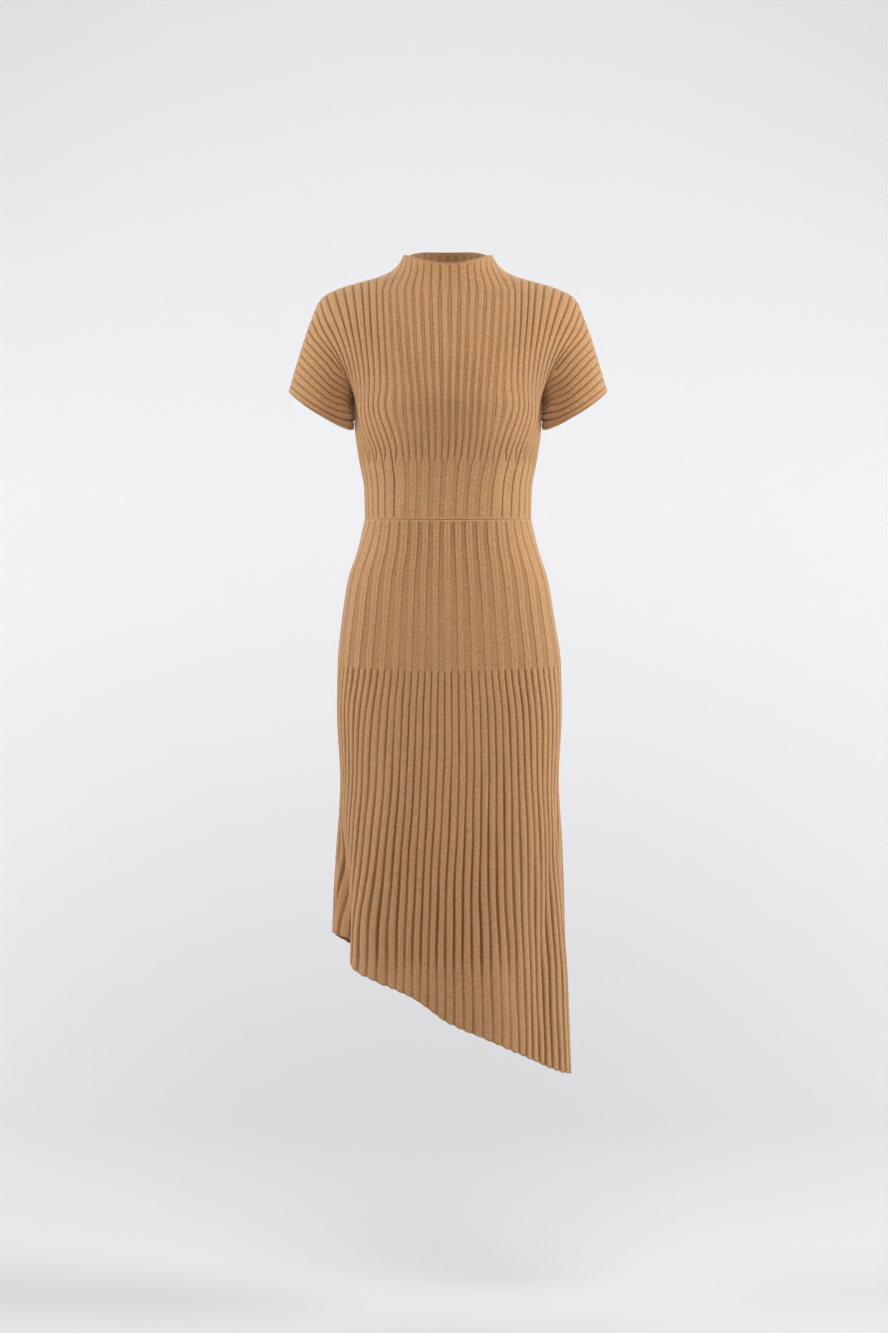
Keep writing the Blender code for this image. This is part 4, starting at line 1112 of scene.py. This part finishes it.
# stage: a pale floor that curves up into a backdrop
stage = {"floor": -1.50, "near": -3.4, "bend": 1.6, "radius": 1.4, "top": 3.2, "half": 5.0,
         # the floor's colour is greyer than the wall's: painted shade
         "wall": (0.86, 0.86, 0.875, 1), "shadedFloorColour": (0.775, 0.775, 0.790, 1), "over": 1.1,
         "roughness": 0.9, "specular": 0.1}


def buildStage(steps=16):
    # floor, quarter circle and wall as one profile carried from side to side; the floor's greyer colour,
    # painted shade, turns into the wall's over a height
    turn = np.linspace(0, np.pi / 2, steps + 1)
    radius, bend, floor = stage["radius"], stage["bend"], stage["floor"]
    y = np.concatenate([[stage["near"]], bend + radius * np.sin(turn), [bend + radius]])
    z = np.concatenate([[floor], floor + radius * (1 - np.cos(turn)), [stage["top"]]])
    x = np.linspace(-stage["half"], stage["half"], 3)
    points = np.stack([np.tile(x, len(y)), np.repeat(y, len(x)), np.repeat(z, len(x))], axis=1)
    ids = np.arange(len(points)).reshape(len(y), len(x))
    paper, wire = startMaterial("palePaper")
    place = wire.node("ShaderNodeSeparateXYZ", None, {0: wire.ownPlace()})
    rise = (wire.out(place, 2) - floor) * (1 / stage["over"])
    wire.surface({"Base Color": rise.atMost(1).mix(stage["shadedFloorColour"], stage["wall"]),
                  "Roughness": stage["roughness"], "Specular IOR Level": stage["specular"]})
    return makePiece("backdrop", points, gridFaces(ids), paper)


buildStage()

# camera level with the middle of the dress, and lights: two side softboxes, a front fill, pale surroundings;
# a picture row is "pixel" metres high at the dress
camera = {"place": (-0.0058, -4.0, -0.5497), "pixel": 0.00146, "rows": 1333, "sensor": 24.0}
lights = {  # place, aim, size, power
    "right": ((2.0, -0.45, 0.25), (0, 0, -0.3), (0.8, 1.3), 37),
    "left": ((-2.0, -0.45, 0.25), (0, 0, -0.3), (0.8, 1.3), 31),
    "front": ((0.1, -1.5, 0.75), (0, 0, -0.35), (1.0, 0.5), 14.6),
    "wallTop": ((0.0, 1.0, 2.0), (0, 2.8, -0.4), (4.0, 1.0), 23),
    "wallRight": ((2.4, 1.2, -0.5), (0, 3, -0.5), (0.8, 1.6), 20),
    "wallLeft": ((-2.4, 1.2, -0.5), (0, 3, -0.5), (0.8, 1.6), 20),
}
surroundings = {"colour": (0.92, 0.94, 1.0, 1), "strength": 0.136}


def setUp(name, data, place, aim):
    # an object at a place, its -Z turned towards a point
    thing = bpy.data.objects.new(name, data)
    bpy.context.scene.collection.objects.link(thing)
    thing.location = place
    thing.rotation_euler = (Vector(aim) - Vector(place)).to_track_quat("-Z", "Y").to_euler()
    return thing


lens = bpy.data.cameras.new("lens")
lens.sensor_fit = "VERTICAL"
lens.sensor_height = camera["sensor"]
lens.lens = camera["sensor"] * -camera["place"][1] / (camera["rows"] * camera["pixel"])
bpy.context.scene.camera = setUp("eye", lens, camera["place"], (camera["place"][0], 0, camera["place"][2]))
for name, (place, aim, size, power) in lights.items():
    lamp = bpy.data.lights.new(name, "AREA")
    lamp.shape = "RECTANGLE"
    lamp.size, lamp.size_y = size
    lamp.energy = power
    setUp(name, lamp, place, aim)
air = bpy.data.worlds.new("air")
air.use_nodes = True
sky = air.node_tree.nodes["Background"].inputs
sky[0].default_value, sky[1].default_value = surroundings["colour"], surroundings["strength"]
bpy.context.scene.world = air
bpy.context.scene.view_settings.view_transform = "Standard"
print("stage, camera and", len(lights), "lights ready")
